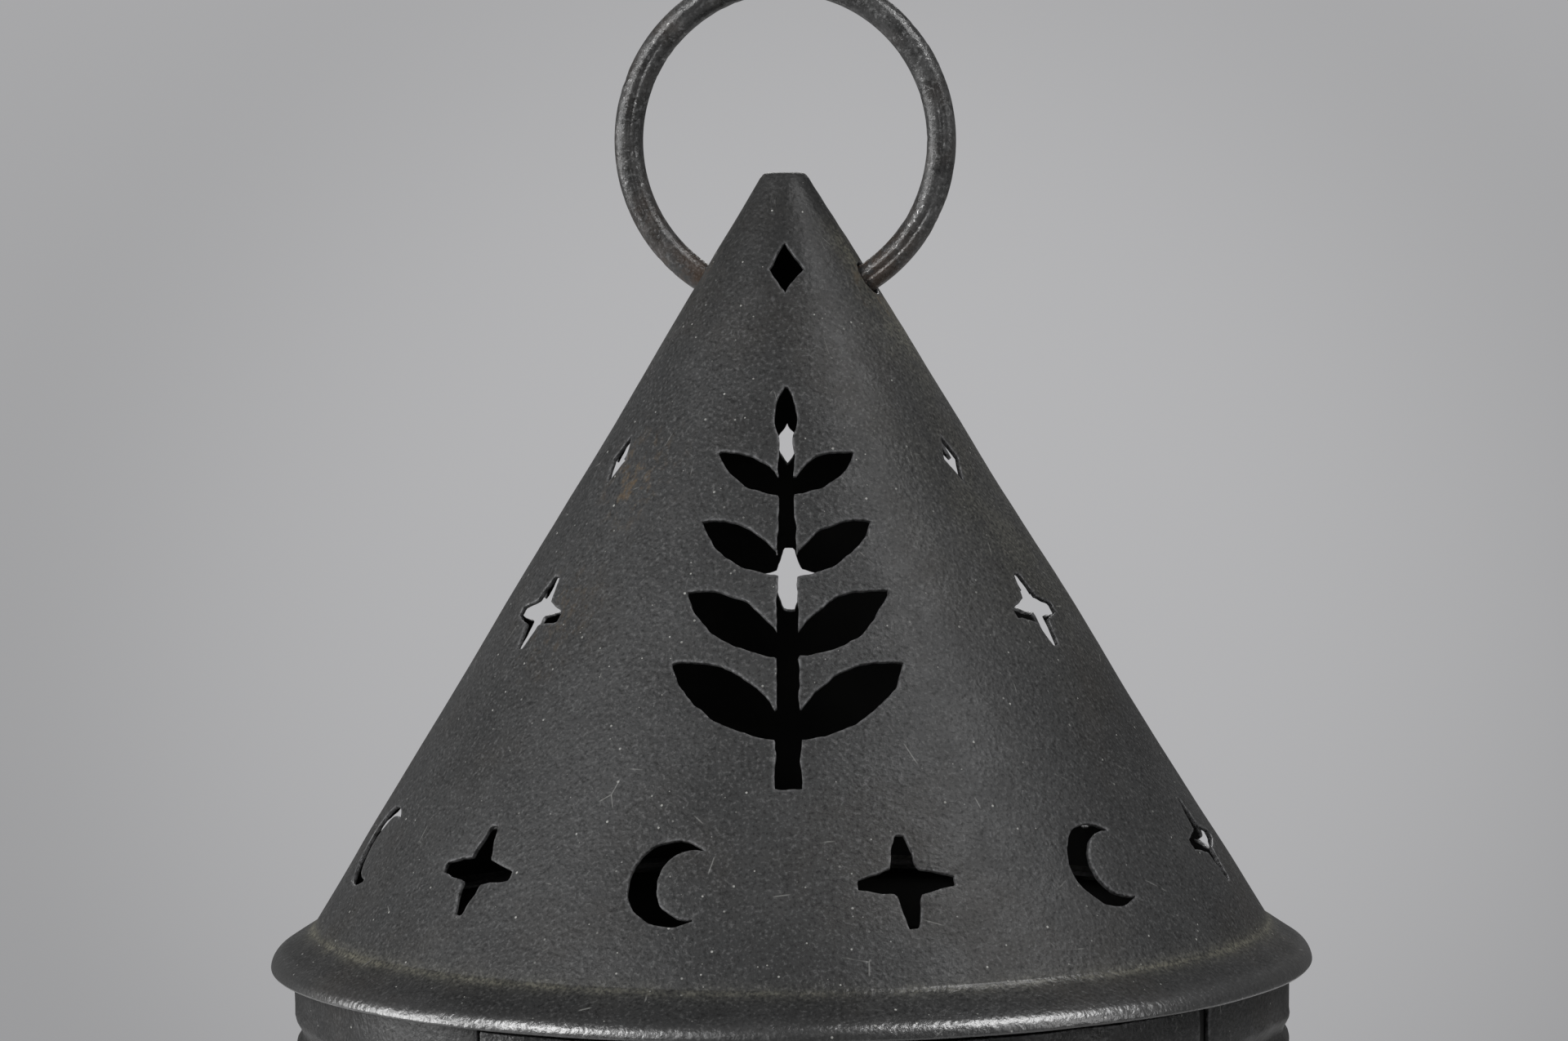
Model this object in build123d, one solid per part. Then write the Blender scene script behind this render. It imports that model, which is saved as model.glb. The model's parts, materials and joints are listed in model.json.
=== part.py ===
from build123d import *
import os
from math import asin, atan2, cos, degrees, hypot, pi, radians, sin, tan

# Punched tin lantern with a conical roof, in millimetres and degrees.
# The origin is on the floor under the axis, +Z is up and the front faces -Y.
# An azimuth counts from the front towards the right side.

# Sheet metal
TIN = 0.8
SOLDER_GAP = 0.05

# Body
BODY_RADIUS = 86.6
EAVE_HEIGHT = 240.0
GROOVE_DROP = 17.5
GROOVE_WIDTH = 5.0
GROOVE_DEPTH = 1.2

# Lap seams at the back of the roof and of the body
SEAM_AZIMUTH = 150.0
SEAM_WIDTH = 9.0
SEAM_END_GAP = 0.6
ROOF_SEAM_TOP = 14.0
SEAM_RIVET_INSET = 12.0
ROOF_SEAM_RIVETS = 5
BODY_SEAM_RIVETS = 6

# Roof
ROOF_STEP = 3.3
ROOF_HEIGHT = 130.4
TIP_RADIUS = 3.6
TIP_FILLET = 1.1

# Beads at the eave and at the foot
RIM_OVERHANG = 4.1
RIM_SLOPE = 33.0
NOSE_BEND = 2.7
LIP_BEND = 0.5
RIM_FLANGE = 4.0
COLLAR_GAP = 0.3
COLLAR_TO_GROOVE = 1.5

# Carrying ring
RING_RADIUS = 27.8
RING_BAR = 5.0
RING_RISE = 5.4
RING_TURN = 13.0
RING_HOLE_PLAY = 0.65
RING_HEAD_LIP = 1.6
RING_HEAD_LENGTH = 2.2
RING_HEAD_SETBACK = 3.6

# Floor, drip pan and candle socket
FLOOR_RISE = 4.6
PAN_FLOOR_RADIUS = 27.0
PAN_FLARE = 6.0
PAN_DEPTH = 7.0
PAN_BEAD = 1.1
SOCKET_BORE = 11.1
SOCKET_HEIGHT = 28.0
SOCKET_FLANGE = 8.0
SOCKET_BEAD = 0.7
SOCKET_RIVETS = 3

# Door and its stop
LATCH_AZIMUTH = -36.0
HINGE_AZIMUTH = 52.0
LATCH_GAP = 0.6
HINGE_SLOT = 2.8
DOOR_TOP_GAP = 1.0
DOOR_FOOT_GAP = 1.5
OPENING_LAP = 0.8
OPENING_SILL = 0.3
STOP_LAP = 5.0
STOP_HOLD = 5.6
STOP_LENGTH = 150.0
STOP_GAP = 0.3
STOP_RIVETS = 4

# Hinges
LEAF = 1.0
LEAF_LENGTH = 22.0
LEAF_CORNER = 5.0
LEAF_RIVET_EDGE = 4.6
HINGE_HEIGHT = 24.0
HINGE_INSET = 25.0
PIN_RADIUS = 1.1
KNUCKLE_WALL = 1.1
KNUCKLE_STAND = 0.2
KNUCKLE_GAP = 0.3
PIN_PLAY = 0.06
PIN_HEAD_LIP = 0.8
PIN_HEAD_HEIGHT = 1.0

# Catch and knob
CATCH_CLEAR = 1.5
BUTTON_LAP = 4.5
BUTTON_WIDTH = 8.0
BUTTON = 1.6
BUTTON_PLAY = 0.15
CATCH_PIN_RADIUS = 1.6
CATCH_LIP = 2.0
CATCH_HEAD_HEIGHT = 1.6
KNOB_SETBACK = 15.0
KNOB_STEM_RADIUS = 2.4
KNOB_RADIUS = 5.2
KNOB_LENGTH = 13.0
KNOB_COLLAR_LIP = 1.6

# Rivets
RIVET_RADIUS = 1.2
RIVET_HEAD_LIP = 1.1
RIVET_DOME = 1.1
RIVET_TAIL_LIP = 0.8
RIVET_TAIL = 0.6
RIVET_PLAY = 0.03

# Cut-outs
CUT_REACH = 9.0
STAR_TIP = 1.7
STAR_WAIST = 3.2
BAND_STAR = 8.2
BAND_RISE = 19.0
BAND_COUNT = 12
SIDE_STAR = 7.0
SIDE_RISE = 66.0
CRESCENT = 7.6
CRESCENT_BITE = 6.2
CRESCENT_SHIFT = 3.4
TIP_DIAMOND_WIDTH = 6.0
TIP_DIAMOND_HEIGHT = 10.0
TIP_DIAMOND_DROP = 19.0
SIDE_DIAMOND_WIDTH = 5.0
SIDE_DIAMOND_HEIGHT = 9.0
SIDE_DIAMOND_RISE = 96.0
SPRIG_COUNT = 3
SPRIG_RISE = 36.0
SPRIG_STEM = 66.0
STEM_FOOT = 4.4
STEM_TOP = 2.4
SPRIG_PAIRS = 4
PAIR_RISE = 9.0
PAIR_STEP = 15.0
BLADE_LENGTH = 25.0
BLADE_TAPER = 3.4
BLADE_SLIMNESS = 2.8
BLADE_ANGLE = 52.0
COLUMN_FIRST = 105.0
COLUMN_STEP = 30.0
COLUMN_COUNT = 7
ROW_FIRST = 62.0
ROW_STEP = 56.0
ROW_COUNT = 3
ROSETTE_BLADE = 11.0
ROSETTE_HOLE = 2.6
DOOR_SPRIG_RISE = 70.0
DOOR_STAR_MARGIN = 4.0
DOOR_STAR_END = 28.0

# Sizes and places that follow from the above
WALL_INSIDE = BODY_RADIUS - TIN
ROOF_FOOT = BODY_RADIUS - ROOF_STEP
RIM_RADIUS = BODY_RADIUS + RIM_OVERHANG
RIM_SEAT = BODY_RADIUS + SOLDER_GAP
NOSE = NOSE_BEND + TIN
LIP = LIP_BEND + TIN
SLOPE = radians(RIM_SLOPE)
TIP_HEIGHT = EAVE_HEIGHT + ROOF_HEIGHT
CONE_ANGLE = atan2(ROOF_FOOT - TIP_RADIUS, ROOF_HEIGHT)
CONE_SHEET = TIN / cos(CONE_ANGLE)
APEX_HEIGHT = TIP_HEIGHT + TIP_RADIUS / tan(CONE_ANGLE)
FOOT_SLANT = ROOF_FOOT / sin(CONE_ANGLE)
TIP_SLANT = TIP_RADIUS / sin(CONE_ANGLE)
GROOVE_HEIGHT = EAVE_HEIGHT - GROOVE_DROP
RING_HEIGHT = TIP_HEIGHT + RING_RISE
FLOOR_TOP = FLOOR_RISE + TIN
PAN_TOP = FLOOR_TOP + TIN
FLANGE_TOP = PAN_TOP + TIN
KNUCKLE = PIN_RADIUS + KNUCKLE_WALL
HINGE_AXIS = BODY_RADIUS + KNUCKLE_STAND + KNUCKLE
RIVET_HEAD = RIVET_RADIUS + RIVET_HEAD_LIP
RIVET_FOOT = RIVET_RADIUS + RIVET_TAIL_LIP
CATCH_FOOT = CATCH_PIN_RADIUS + CATCH_LIP
CATCH_ARC = STOP_HOLD + CATCH_CLEAR + CATCH_FOOT


def bead_run(start):
    """Radial run of the straight slope of a bead that starts at this radius."""
    return RIM_RADIUS - NOSE * (1 - sin(SLOPE)) - start


def bead_drop(start):
    """Height of a bead from the start of its slope to its widest place."""
    return bead_run(start) * tan(SLOPE) + NOSE * cos(SLOPE)


def slope_underside(radius):
    """Height of the underside of the eave's slope at this radius."""
    return EAVE_HEIGHT - TIN / cos(SLOPE) - (radius - ROOF_FOOT) * tan(SLOPE)


def arc_angle(length):
    """Azimuth covered by a length along the wall."""
    return degrees(length / BODY_RADIUS)


EAVE_EDGE = EAVE_HEIGHT - bead_drop(ROOF_FOOT)
BASE_RIM_TOP = bead_drop(RIM_SEAT) + LIP
WALL_TOP = slope_underside(BODY_RADIUS) - SOLDER_GAP
DOOR_TOP = EAVE_EDGE - DOOR_TOP_GAP
DOOR_FOOT = BASE_RIM_TOP + DOOR_FOOT_GAP
DOOR_MIDDLE = (DOOR_TOP + DOOR_FOOT) / 2
DOOR_LEFT = LATCH_AZIMUTH + arc_angle(LATCH_GAP)
DOOR_RIGHT = HINGE_AZIMUTH - arc_angle(HINGE_SLOT / 2)
DOOR_CENTRE = (DOOR_LEFT + DOOR_RIGHT) / 2
SEAM_FOOT = BASE_RIM_TOP + SEAM_END_GAP
SEAM_TOP = EAVE_EDGE - SEAM_END_GAP
HINGES = {"upper": DOOR_TOP - HINGE_INSET, "lower": DOOR_FOOT + HINGE_INSET}


# Frames and basic solids


def outward(azimuth):
    """Unit vector away from the axis."""
    return Vector(sin(radians(azimuth)), -cos(radians(azimuth)), 0)


def along(azimuth):
    """Unit vector along the wall towards a larger azimuth."""
    return Vector(cos(radians(azimuth)), sin(radians(azimuth)), 0)


def wall_frame(azimuth, height, radius=BODY_RADIUS):
    """Plane that touches the wall: x runs along it, y up and z outward."""
    origin = outward(azimuth) * radius + Vector(0, 0, height)
    return Plane(origin, x_dir=along(azimuth), z_dir=outward(azimuth))


def cone_frame(azimuth, slant, lift=0.0):
    """Plane that touches the cone at this distance from its apex: y runs up the slope, z out of it."""
    normal = outward(azimuth) * cos(CONE_ANGLE) + Vector(0, 0, sin(CONE_ANGLE))
    height = APEX_HEIGHT - slant * cos(CONE_ANGLE)
    origin = outward(azimuth) * (slant * sin(CONE_ANGLE)) + Vector(0, 0, height)
    return Plane(origin + normal * lift, x_dir=along(azimuth), z_dir=normal)


def placed(frame, solid):
    """Solid drawn at the origin, moved to a frame."""
    return frame.location * solid


def outline(*points):
    """Face inside a closed run of straight edges."""
    return make_face(Polyline(*points, close=True))


def ring_profile(inner, outer, low, high):
    """Rectangle between two radii and two heights."""
    return outline((inner, low), (outer, low), (outer, high), (inner, high))


def turned(profile, sweep=360.0):
    """Solid of revolution of a face drawn as radius and height."""
    return revolve(Plane.XZ * profile, Axis.Z, sweep)


def sector(inner, outer, low, high, first, last):
    """Solid between two radii, two heights and two azimuths."""
    return Rot(0, 0, first - 90) * turned(ring_profile(inner, outer, low, high), last - first)


def rod(radius, low, high):
    """Cylinder about the local z axis between two heights."""
    return extrude(Pos(0, 0, low) * Circle(radius), high - low)


def dome(radius, height):
    """Spherical cap that stands on the local plane."""
    ball = (radius**2 + height**2) / (2 * height)
    half = asin(radius / ball) / 2
    crown = (ball * sin(half), height - ball * (1 - cos(half)))
    edges = [
        Line((0, 0), (radius, 0)),
        ThreePointArc((radius, 0), crown, (0, height)),
        Line((0, height), (0, 0)),
    ]
    return turned(make_face(edges))


# Rivets


def hollow(foot, radius):
    """Room that a flat foot needs inside a round wall."""
    return foot**2 / (2 * radius)


def rivet(grip):
    """Domed rivet whose head stands on the local plane, through this much sheet and room."""
    tail = rod(RIVET_FOOT, -grip - RIVET_TAIL, -grip)
    return dome(RIVET_HEAD, RIVET_DOME) + rod(RIVET_RADIUS, -grip, 0) + tail


def riveted(frames, grip):
    """Rivets at these frames, as separate solids."""
    return Compound([placed(frame, rivet(grip)) for frame in frames])


def holes(frames, radius, grip):
    """Cutters for round holes at these frames, through this much sheet and room."""
    return [placed(frame, rod(radius, -2 * grip, grip)) for frame in frames]


def rivet_holes(frames, grip):
    """Cutters for rivet holes at these frames."""
    return holes(frames, RIVET_RADIUS + RIVET_PLAY, grip)


def spread(first, last, count):
    """Evenly spaced values from first to last."""
    return [first + (last - first) * index / (count - 1) for index in range(count)]


WALL_HOLLOW = hollow(RIVET_FOOT, WALL_INSIDE)
LEAF_GRIP = LEAF + TIN + WALL_HOLLOW
BODY_SEAM_GRIP = 2 * TIN + WALL_HOLLOW
STOP_GRIP = 2 * TIN + STOP_GAP + WALL_HOLLOW
SOCKET_GRIP = 3 * TIN
ROOF_SEAM_FIRST = TIP_SLANT + ROOF_SEAM_TOP + SEAM_RIVET_INSET
ROOF_SEAM_GRIP = 2 * TIN + hollow(RIVET_FOOT, ROOF_SEAM_FIRST * tan(CONE_ANGLE))


def leaf_rivet_frames(middle, side):
    """Three rivets of a hinge leaf: two near the corners at mid length, one at the far end."""
    frames = []
    up = HINGE_HEIGHT / 2 - LEAF_RIVET_EDGE
    for reach, rise in ((LEAF_LENGTH / 2, up), (LEAF_LENGTH / 2, -up), (LEAF_LENGTH - LEAF_RIVET_EDGE, 0)):
        azimuth = HINGE_AZIMUTH + side * arc_angle(reach)
        frames.append(wall_frame(azimuth, middle + rise, BODY_RADIUS + LEAF))
    return frames


def hinge_rivet_frames(side):
    """Rivets of both hinges on one side of the slot."""
    return [frame for middle in HINGES.values() for frame in leaf_rivet_frames(middle, side)]


def stop_rivet_frames():
    """Rivets that hold the door stop to the wall beside the opening."""
    azimuth = LATCH_AZIMUTH - arc_angle(STOP_HOLD / 2)
    end = STOP_LENGTH / 2 * (1 - 1 / STOP_RIVETS)
    return [wall_frame(azimuth, z) for z in spread(DOOR_MIDDLE - end, DOOR_MIDDLE + end, STOP_RIVETS)]


def body_seam_frames():
    """Rivets up the wall's lap seam, below the groove."""
    last = GROOVE_HEIGHT - GROOVE_WIDTH / 2 - SEAM_RIVET_INSET
    heights = spread(SEAM_FOOT + SEAM_RIVET_INSET, last, BODY_SEAM_RIVETS)
    return [wall_frame(SEAM_AZIMUTH, height, BODY_RADIUS + TIN) for height in heights]


def roof_seam_frames():
    """Rivets up the cone's lap seam."""
    slants = spread(ROOF_SEAM_FIRST, FOOT_SLANT - SEAM_RIVET_INSET, ROOF_SEAM_RIVETS)
    return [cone_frame(SEAM_AZIMUTH, slant, TIN) for slant in slants]


def socket_rivet_frames():
    """Rivets round the candle socket's flange."""
    radius = SOCKET_BORE + TIN + SOCKET_FLANGE / 2
    turns = [index * 360 / SOCKET_RIVETS for index in range(SOCKET_RIVETS)]
    return [Plane(outward(turn) * radius + Vector(0, 0, FLANGE_TOP)) for turn in turns]


# Cut-out shapes, drawn flat with y up


def star(radius):
    """Four-pointed star with blunt points."""
    notch = STAR_WAIST / 2**0.5
    arm = ((-STAR_TIP / 2, radius), (STAR_TIP / 2, radius), (notch, notch))
    points = []
    for quarter in range(4):
        turn = -quarter * pi / 2
        points += [(x * cos(turn) - y * sin(turn), x * sin(turn) + y * cos(turn)) for x, y in arm]
    return outline(*points)


def diamond(width, height):
    """Upright diamond."""
    return outline((0, -height / 2), (width / 2, 0), (0, height / 2), (-width / 2, 0))


def crescent():
    """Moon sickle that opens to the right."""
    return Circle(CRESCENT) - Pos(CRESCENT_SHIFT, 0) * Circle(CRESCENT_BITE)


def blade(length):
    """Pointed leaf centred on the origin."""
    half = length / 2
    belly = half / BLADE_SLIMNESS
    right = ThreePointArc((0, -half), (belly, 0), (0, half))
    left = ThreePointArc((0, half), (-belly, 0), (0, -half))
    return make_face([right, left])


def rosette():
    """Four leaves round a hole."""
    leaves = Circle(ROSETTE_HOLE)
    for quarter in range(4):
        leaves = leaves + Rot(0, 0, 45 + 90 * quarter) * Pos(0, ROSETTE_BLADE / 2) * blade(ROSETTE_BLADE)
    return leaves


def stalk():
    """Tapered stalk from the origin upwards."""
    foot = STEM_FOOT / 2
    top = STEM_TOP / 2
    return outline((-foot, 0), (foot, 0), (top, SPRIG_STEM), (-top, SPRIG_STEM))


def sprig_blades():
    """Leaves of a sprig as length, angle from upright and middle, counted from the stalk's foot."""
    feet = [(BLADE_LENGTH - BLADE_TAPER * SPRIG_PAIRS, 0.0, SPRIG_STEM - STEM_TOP)]
    for pair in range(SPRIG_PAIRS):
        for side in (-1, 1):
            feet.append((BLADE_LENGTH - BLADE_TAPER * pair, side * BLADE_ANGLE, PAIR_RISE + PAIR_STEP * pair))
    blades = []
    for length, angle, rise in feet:
        reach = length / 2
        middle = (reach * sin(radians(angle)), rise + reach * cos(radians(angle)))
        blades.append((length, angle, middle))
    return blades


def punch(frame, shape):
    """Cutter through the sheet at a frame."""
    return extrude(frame * shape, CUT_REACH, both=True)


def cone_sprig(azimuth):
    """Cutters of a sprig on the cone, each leaf square to the sheet where it lies."""
    foot = FOOT_SLANT - SPRIG_RISE
    cutters = [punch(cone_frame(azimuth, foot), stalk())]
    for length, angle, (x, rise) in sprig_blades():
        flat_turn = degrees(atan2(x, foot - rise))
        frame = cone_frame(azimuth + flat_turn / sin(CONE_ANGLE), hypot(x, foot - rise))
        cutters.append(punch(frame, Rot(0, 0, -angle - flat_turn) * blade(length)))
    return cutters


def wall_sprig(azimuth, foot):
    """Cutters of a sprig on the wall, each leaf square to the sheet where it lies."""
    cutters = [punch(wall_frame(azimuth, foot), stalk())]
    for length, angle, (x, rise) in sprig_blades():
        frame = wall_frame(azimuth + arc_angle(x), foot + rise)
        cutters.append(punch(frame, Rot(0, 0, -angle) * blade(length)))
    return cutters


def roof_cutters():
    """All cut-outs of the cone."""
    side_diamond = diamond(SIDE_DIAMOND_WIDTH, SIDE_DIAMOND_HEIGHT)
    tip_diamond = diamond(TIP_DIAMOND_WIDTH, TIP_DIAMOND_HEIGHT)
    cutters = [punch(cone_frame(0, TIP_SLANT + TIP_DIAMOND_DROP), tip_diamond)]
    for index in range(SPRIG_COUNT):
        azimuth = index * 360 / SPRIG_COUNT
        between = azimuth + 180 / SPRIG_COUNT
        cutters += cone_sprig(azimuth)
        cutters.append(punch(cone_frame(between, FOOT_SLANT - SIDE_RISE), star(SIDE_STAR)))
        cutters.append(punch(cone_frame(between, FOOT_SLANT - SIDE_DIAMOND_RISE), side_diamond))
    for index in range(BAND_COUNT):
        shape = crescent() if index % 2 else star(BAND_STAR)
        azimuth = (index + 0.5) * 360 / BAND_COUNT
        cutters.append(punch(cone_frame(azimuth, FOOT_SLANT - BAND_RISE), shape))
    return cutters


def wall_cutters():
    """All cut-outs of the fixed wall, in rows and columns."""
    shapes = (star(BAND_STAR), rosette(), crescent())
    cutters = []
    for column in range(COLUMN_COUNT):
        for row in range(ROW_COUNT):
            frame = wall_frame(COLUMN_FIRST + COLUMN_STEP * column, ROW_FIRST + ROW_STEP * row)
            cutters.append(punch(frame, shapes[(row + column) % len(shapes)]))
    return cutters


def door_cutters():
    """Sprig in the middle of the door, a rosette above and below it and a star in each corner."""
    cutters = wall_sprig(DOOR_CENTRE, DOOR_FOOT + DOOR_SPRIG_RISE)
    inset = arc_angle(LEAF_LENGTH + BAND_STAR + DOOR_STAR_MARGIN)
    for height in (DOOR_FOOT + DOOR_STAR_END, DOOR_TOP - DOOR_STAR_END):
        cutters.append(punch(wall_frame(DOOR_CENTRE, height), rosette()))
        for azimuth in (DOOR_LEFT + inset, DOOR_RIGHT - inset):
            cutters.append(punch(wall_frame(azimuth, height), star(BAND_STAR)))
    return cutters


# Roof and carrying ring


def ring_entry():
    """Angle from the ring's lowest point to where its centre line goes through the cone's sheet."""
    level = ROOF_FOOT - CONE_SHEET / 2 - (RING_HEIGHT - EAVE_HEIGHT) * tan(CONE_ANGLE)
    return degrees(CONE_ANGLE + asin(level * cos(CONE_ANGLE) / RING_RADIUS))


RING_ENTRY = ring_entry()
RING_END = RING_ENTRY - degrees((RING_HEAD_SETBACK + RING_HEAD_LENGTH) / RING_RADIUS)


def ring_frame(angle, side):
    """Plane across the bar at an angle from the ring's lowest point, z pointing to the bar's end."""
    turn = radians(angle)
    origin = (side * RING_RADIUS * sin(turn), 0, RING_HEIGHT - RING_RADIUS * cos(turn))
    return Plane(origin, x_dir=(0, 1, 0), z_dir=(-side * cos(turn), 0, -sin(turn)))


def carrying_ring():
    """Round bar bent to an open ring, with an upset head on each end inside the roof."""
    centre = Axis((0, 0, RING_HEIGHT), (0, -1, 0))
    ring = revolve(ring_frame(RING_END, 1) * Circle(RING_BAR / 2), centre, 360 - 2 * RING_END)
    head = rod(RING_BAR / 2 + RING_HEAD_LIP, -RING_HEAD_LENGTH, 0)
    for side in (1, -1):
        ring = ring + placed(ring_frame(RING_END, side), head)
    return Rot(0, 0, -RING_TURN) * ring


def ring_holes():
    """Cutters for the two holes that the ring's ends go through."""
    frames = [ring_frame(RING_ENTRY, side) for side in (1, -1)]
    cutters = holes(frames, RING_BAR / 2 + RING_HOLE_PLAY, 2 * TIN)
    return [Rot(0, 0, -RING_TURN) * cutter for cutter in cutters]


def roof_lap():
    """Strip of the cone's sheet that laps over its seam."""
    corners = []
    for slant in (FOOT_SLANT - SEAM_END_GAP, TIP_SLANT + ROOF_SEAM_TOP):
        corners.append((slant * sin(CONE_ANGLE), APEX_HEIGHT - slant * cos(CONE_ANGLE)))
    (foot, low), (head, high) = corners
    skin = turned(outline((foot, low), (foot + CONE_SHEET, low), (head + CONE_SHEET, high), (head, high)))
    band = Box(SEAM_WIDTH, 2 * FOOT_SLANT, 2 * SEAM_WIDTH)
    return skin & placed(cone_frame(SEAM_AZIMUTH, FOOT_SLANT), band)


def roof_cone():
    """Rolled cone with a closed flat tip, a lap seam, the ring's holes and the cut-outs."""
    inner_tip = TIP_RADIUS - CONE_SHEET + TIN * tan(CONE_ANGLE)
    cone = turned(
        outline(
            (ROOF_FOOT - CONE_SHEET, EAVE_HEIGHT),
            (ROOF_FOOT, EAVE_HEIGHT),
            (TIP_RADIUS, TIP_HEIGHT),
            (0, TIP_HEIGHT),
            (0, TIP_HEIGHT - TIN),
            (inner_tip, TIP_HEIGHT - TIN),
        )
    )
    cone = fillet(cone.edges().sort_by_distance((TIP_RADIUS, 0, TIP_HEIGHT))[0], TIP_FILLET)
    cutters = roof_cutters() + ring_holes() + rivet_holes(roof_seam_frames(), ROOF_SEAM_GRIP)
    return cone + roof_lap() - cutters


def on_arc(centre, radius, angle):
    """Point of an arc in a section, at this angle from the outward direction."""
    return centre + Vector(cos(angle), sin(angle)) * radius


def bead_edges(start, top):
    """Section of a bead down to its widest place: slope and round nose, both faces, closed at the start."""
    nose_centre = Vector(RIM_RADIUS - NOSE, top - bead_drop(start))
    shoulder = pi / 2 - SLOPE
    under = (start, top - TIN / cos(SLOPE))
    edges = [Line((start, top), under)]
    for inset, first in ((0.0, (start, top)), (TIN, under)):
        places = [on_arc(nose_centre, NOSE - inset, turn) for turn in (shoulder, shoulder / 2, 0)]
        edges += [Line(first, places[0]), ThreePointArc(*places)]
    return edges


def roof_rim():
    """Bead at the eave: a drip edge that overhangs the wall, with a flange under the cone's foot."""
    flange = ring_profile(ROOF_FOOT - RIM_FLANGE, ROOF_FOOT, EAVE_HEIGHT - TIN, EAVE_HEIGHT)
    drip_edge = Line((RIM_RADIUS, EAVE_EDGE), (RIM_RADIUS - TIN, EAVE_EDGE))
    return turned(flange) + turned(make_face(bead_edges(ROOF_FOOT, EAVE_HEIGHT) + [drip_edge]))


def roof_collar():
    """Ring inside the wall's top that centres the roof and backs the door's upper edge."""
    outer = WALL_INSIDE - COLLAR_GAP
    low = GROOVE_HEIGHT + GROOVE_WIDTH / 2 + COLLAR_TO_GROOVE
    return turned(ring_profile(outer - TIN, outer, low, slope_underside(outer) - SOLDER_GAP))


# Body, floor and candle holder


def wall(radius):
    """Upright sheet with the swaged groove, its outer face at this radius."""
    low = GROOVE_HEIGHT - GROOVE_WIDTH / 2
    high = GROOVE_HEIGHT + GROOVE_WIDTH / 2
    inside = radius - TIN
    edges = [Line((inside, 0), (radius, 0)), Line((radius, WALL_TOP), (inside, WALL_TOP))]
    for face in (inside, radius):
        edges += [
            Line((face, 0), (face, low)),
            ThreePointArc((face, low), (face - GROOVE_DEPTH, GROOVE_HEIGHT), (face, high)),
            Line((face, high), (face, WALL_TOP)),
        ]
    return turned(make_face(edges))


def wall_piece(low, high, first, last):
    """Region of the wall between two heights and two azimuths, through its whole thickness."""
    reach = 4 * GROOVE_DEPTH
    return sector(BODY_RADIUS - reach, BODY_RADIUS + reach, low, high, first, last)


def catch_frame():
    """Frame of the turn button's rivet on the wall beside the opening."""
    return wall_frame(LATCH_AZIMUTH - arc_angle(CATCH_ARC), DOOR_MIDDLE)


def body_shell():
    """Rolled wall with a lap seam, the door's opening, rivet holes and cut-outs."""
    seam_band = Box(SEAM_WIDTH, SEAM_TOP - SEAM_FOOT, 2 * SEAM_WIDTH)
    seam_frame = wall_frame(SEAM_AZIMUTH, (SEAM_FOOT + SEAM_TOP) / 2)
    shell = wall(BODY_RADIUS) + (wall(BODY_RADIUS + TIN) & placed(seam_frame, seam_band))
    hinge_edge = HINGE_AZIMUTH + arc_angle(HINGE_SLOT / 2)
    opening = wall_piece(BASE_RIM_TOP + OPENING_SILL, EAVE_EDGE + OPENING_LAP, LATCH_AZIMUTH, hinge_edge)
    cutters = [opening] + wall_cutters()
    cutters += rivet_holes(body_seam_frames(), BODY_SEAM_GRIP)
    cutters += rivet_holes(hinge_rivet_frames(1), LEAF_GRIP)
    cutters += rivet_holes(stop_rivet_frames(), STOP_GRIP)
    cutters += holes([catch_frame()], CATCH_PIN_RADIUS + RIVET_PLAY, 2 * TIN)
    return shell - cutters


def base_rim():
    """Bead round the foot, with a lip back to the wall that is flat underneath."""
    lip_centre = Vector(RIM_RADIUS - LIP, LIP)
    edges = bead_edges(RIM_SEAT, BASE_RIM_TOP)
    for inset in (0.0, TIN):
        front, half_lip, last = [on_arc(lip_centre, LIP - inset, turn) for turn in (0, -pi / 4, -pi / 2)]
        edges += [ThreePointArc(front, half_lip, last), Line(last, (RIM_SEAT, last.Y))]
    edges.append(Line((RIM_SEAT, 0), (RIM_SEAT, TIN)))
    return turned(make_face(edges))


def floor_pan():
    """Raised floor with a skirt that stands inside the wall."""
    outer = WALL_INSIDE - SOLDER_GAP
    floor = outline(
        (0, FLOOR_RISE),
        (outer - TIN, FLOOR_RISE),
        (outer - TIN, 0),
        (outer, 0),
        (outer, FLOOR_TOP),
        (0, FLOOR_TOP),
    )
    return turned(floor) - rivet_holes(socket_rivet_frames(), SOCKET_GRIP)


def drip_pan():
    """Dish with a flared side and a rolled edge."""
    edge = PAN_FLOOR_RADIUS + PAN_FLARE
    sheet = TIN * hypot(PAN_FLARE, PAN_DEPTH) / PAN_DEPTH
    high = FLOOR_TOP + PAN_DEPTH
    dish = outline(
        (0, FLOOR_TOP),
        (PAN_FLOOR_RADIUS, FLOOR_TOP),
        (edge, high),
        (edge - sheet, high),
        (PAN_FLOOR_RADIUS - sheet + TIN * PAN_FLARE / PAN_DEPTH, PAN_TOP),
        (0, PAN_TOP),
    )
    pan = turned(dish) + turned(Pos(edge - sheet / 2, high) * Circle(PAN_BEAD))
    return pan - rivet_holes(socket_rivet_frames(), SOCKET_GRIP)


def candle_socket():
    """Tube for the candle with a flange at its foot and a bead round its mouth."""
    outside = SOCKET_BORE + TIN
    high = PAN_TOP + SOCKET_HEIGHT
    tube = ring_profile(SOCKET_BORE, outside, PAN_TOP, high)
    flange = ring_profile(SOCKET_BORE, outside + SOCKET_FLANGE, PAN_TOP, FLANGE_TOP)
    mouth = Pos(SOCKET_BORE + TIN / 2 + SOCKET_BEAD, high - SOCKET_BEAD) * Circle(SOCKET_BEAD)
    socket = turned(tube) + turned(flange) + turned(mouth)
    return socket - rivet_holes(socket_rivet_frames(), SOCKET_GRIP)


# Door, hinges and catch


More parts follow.
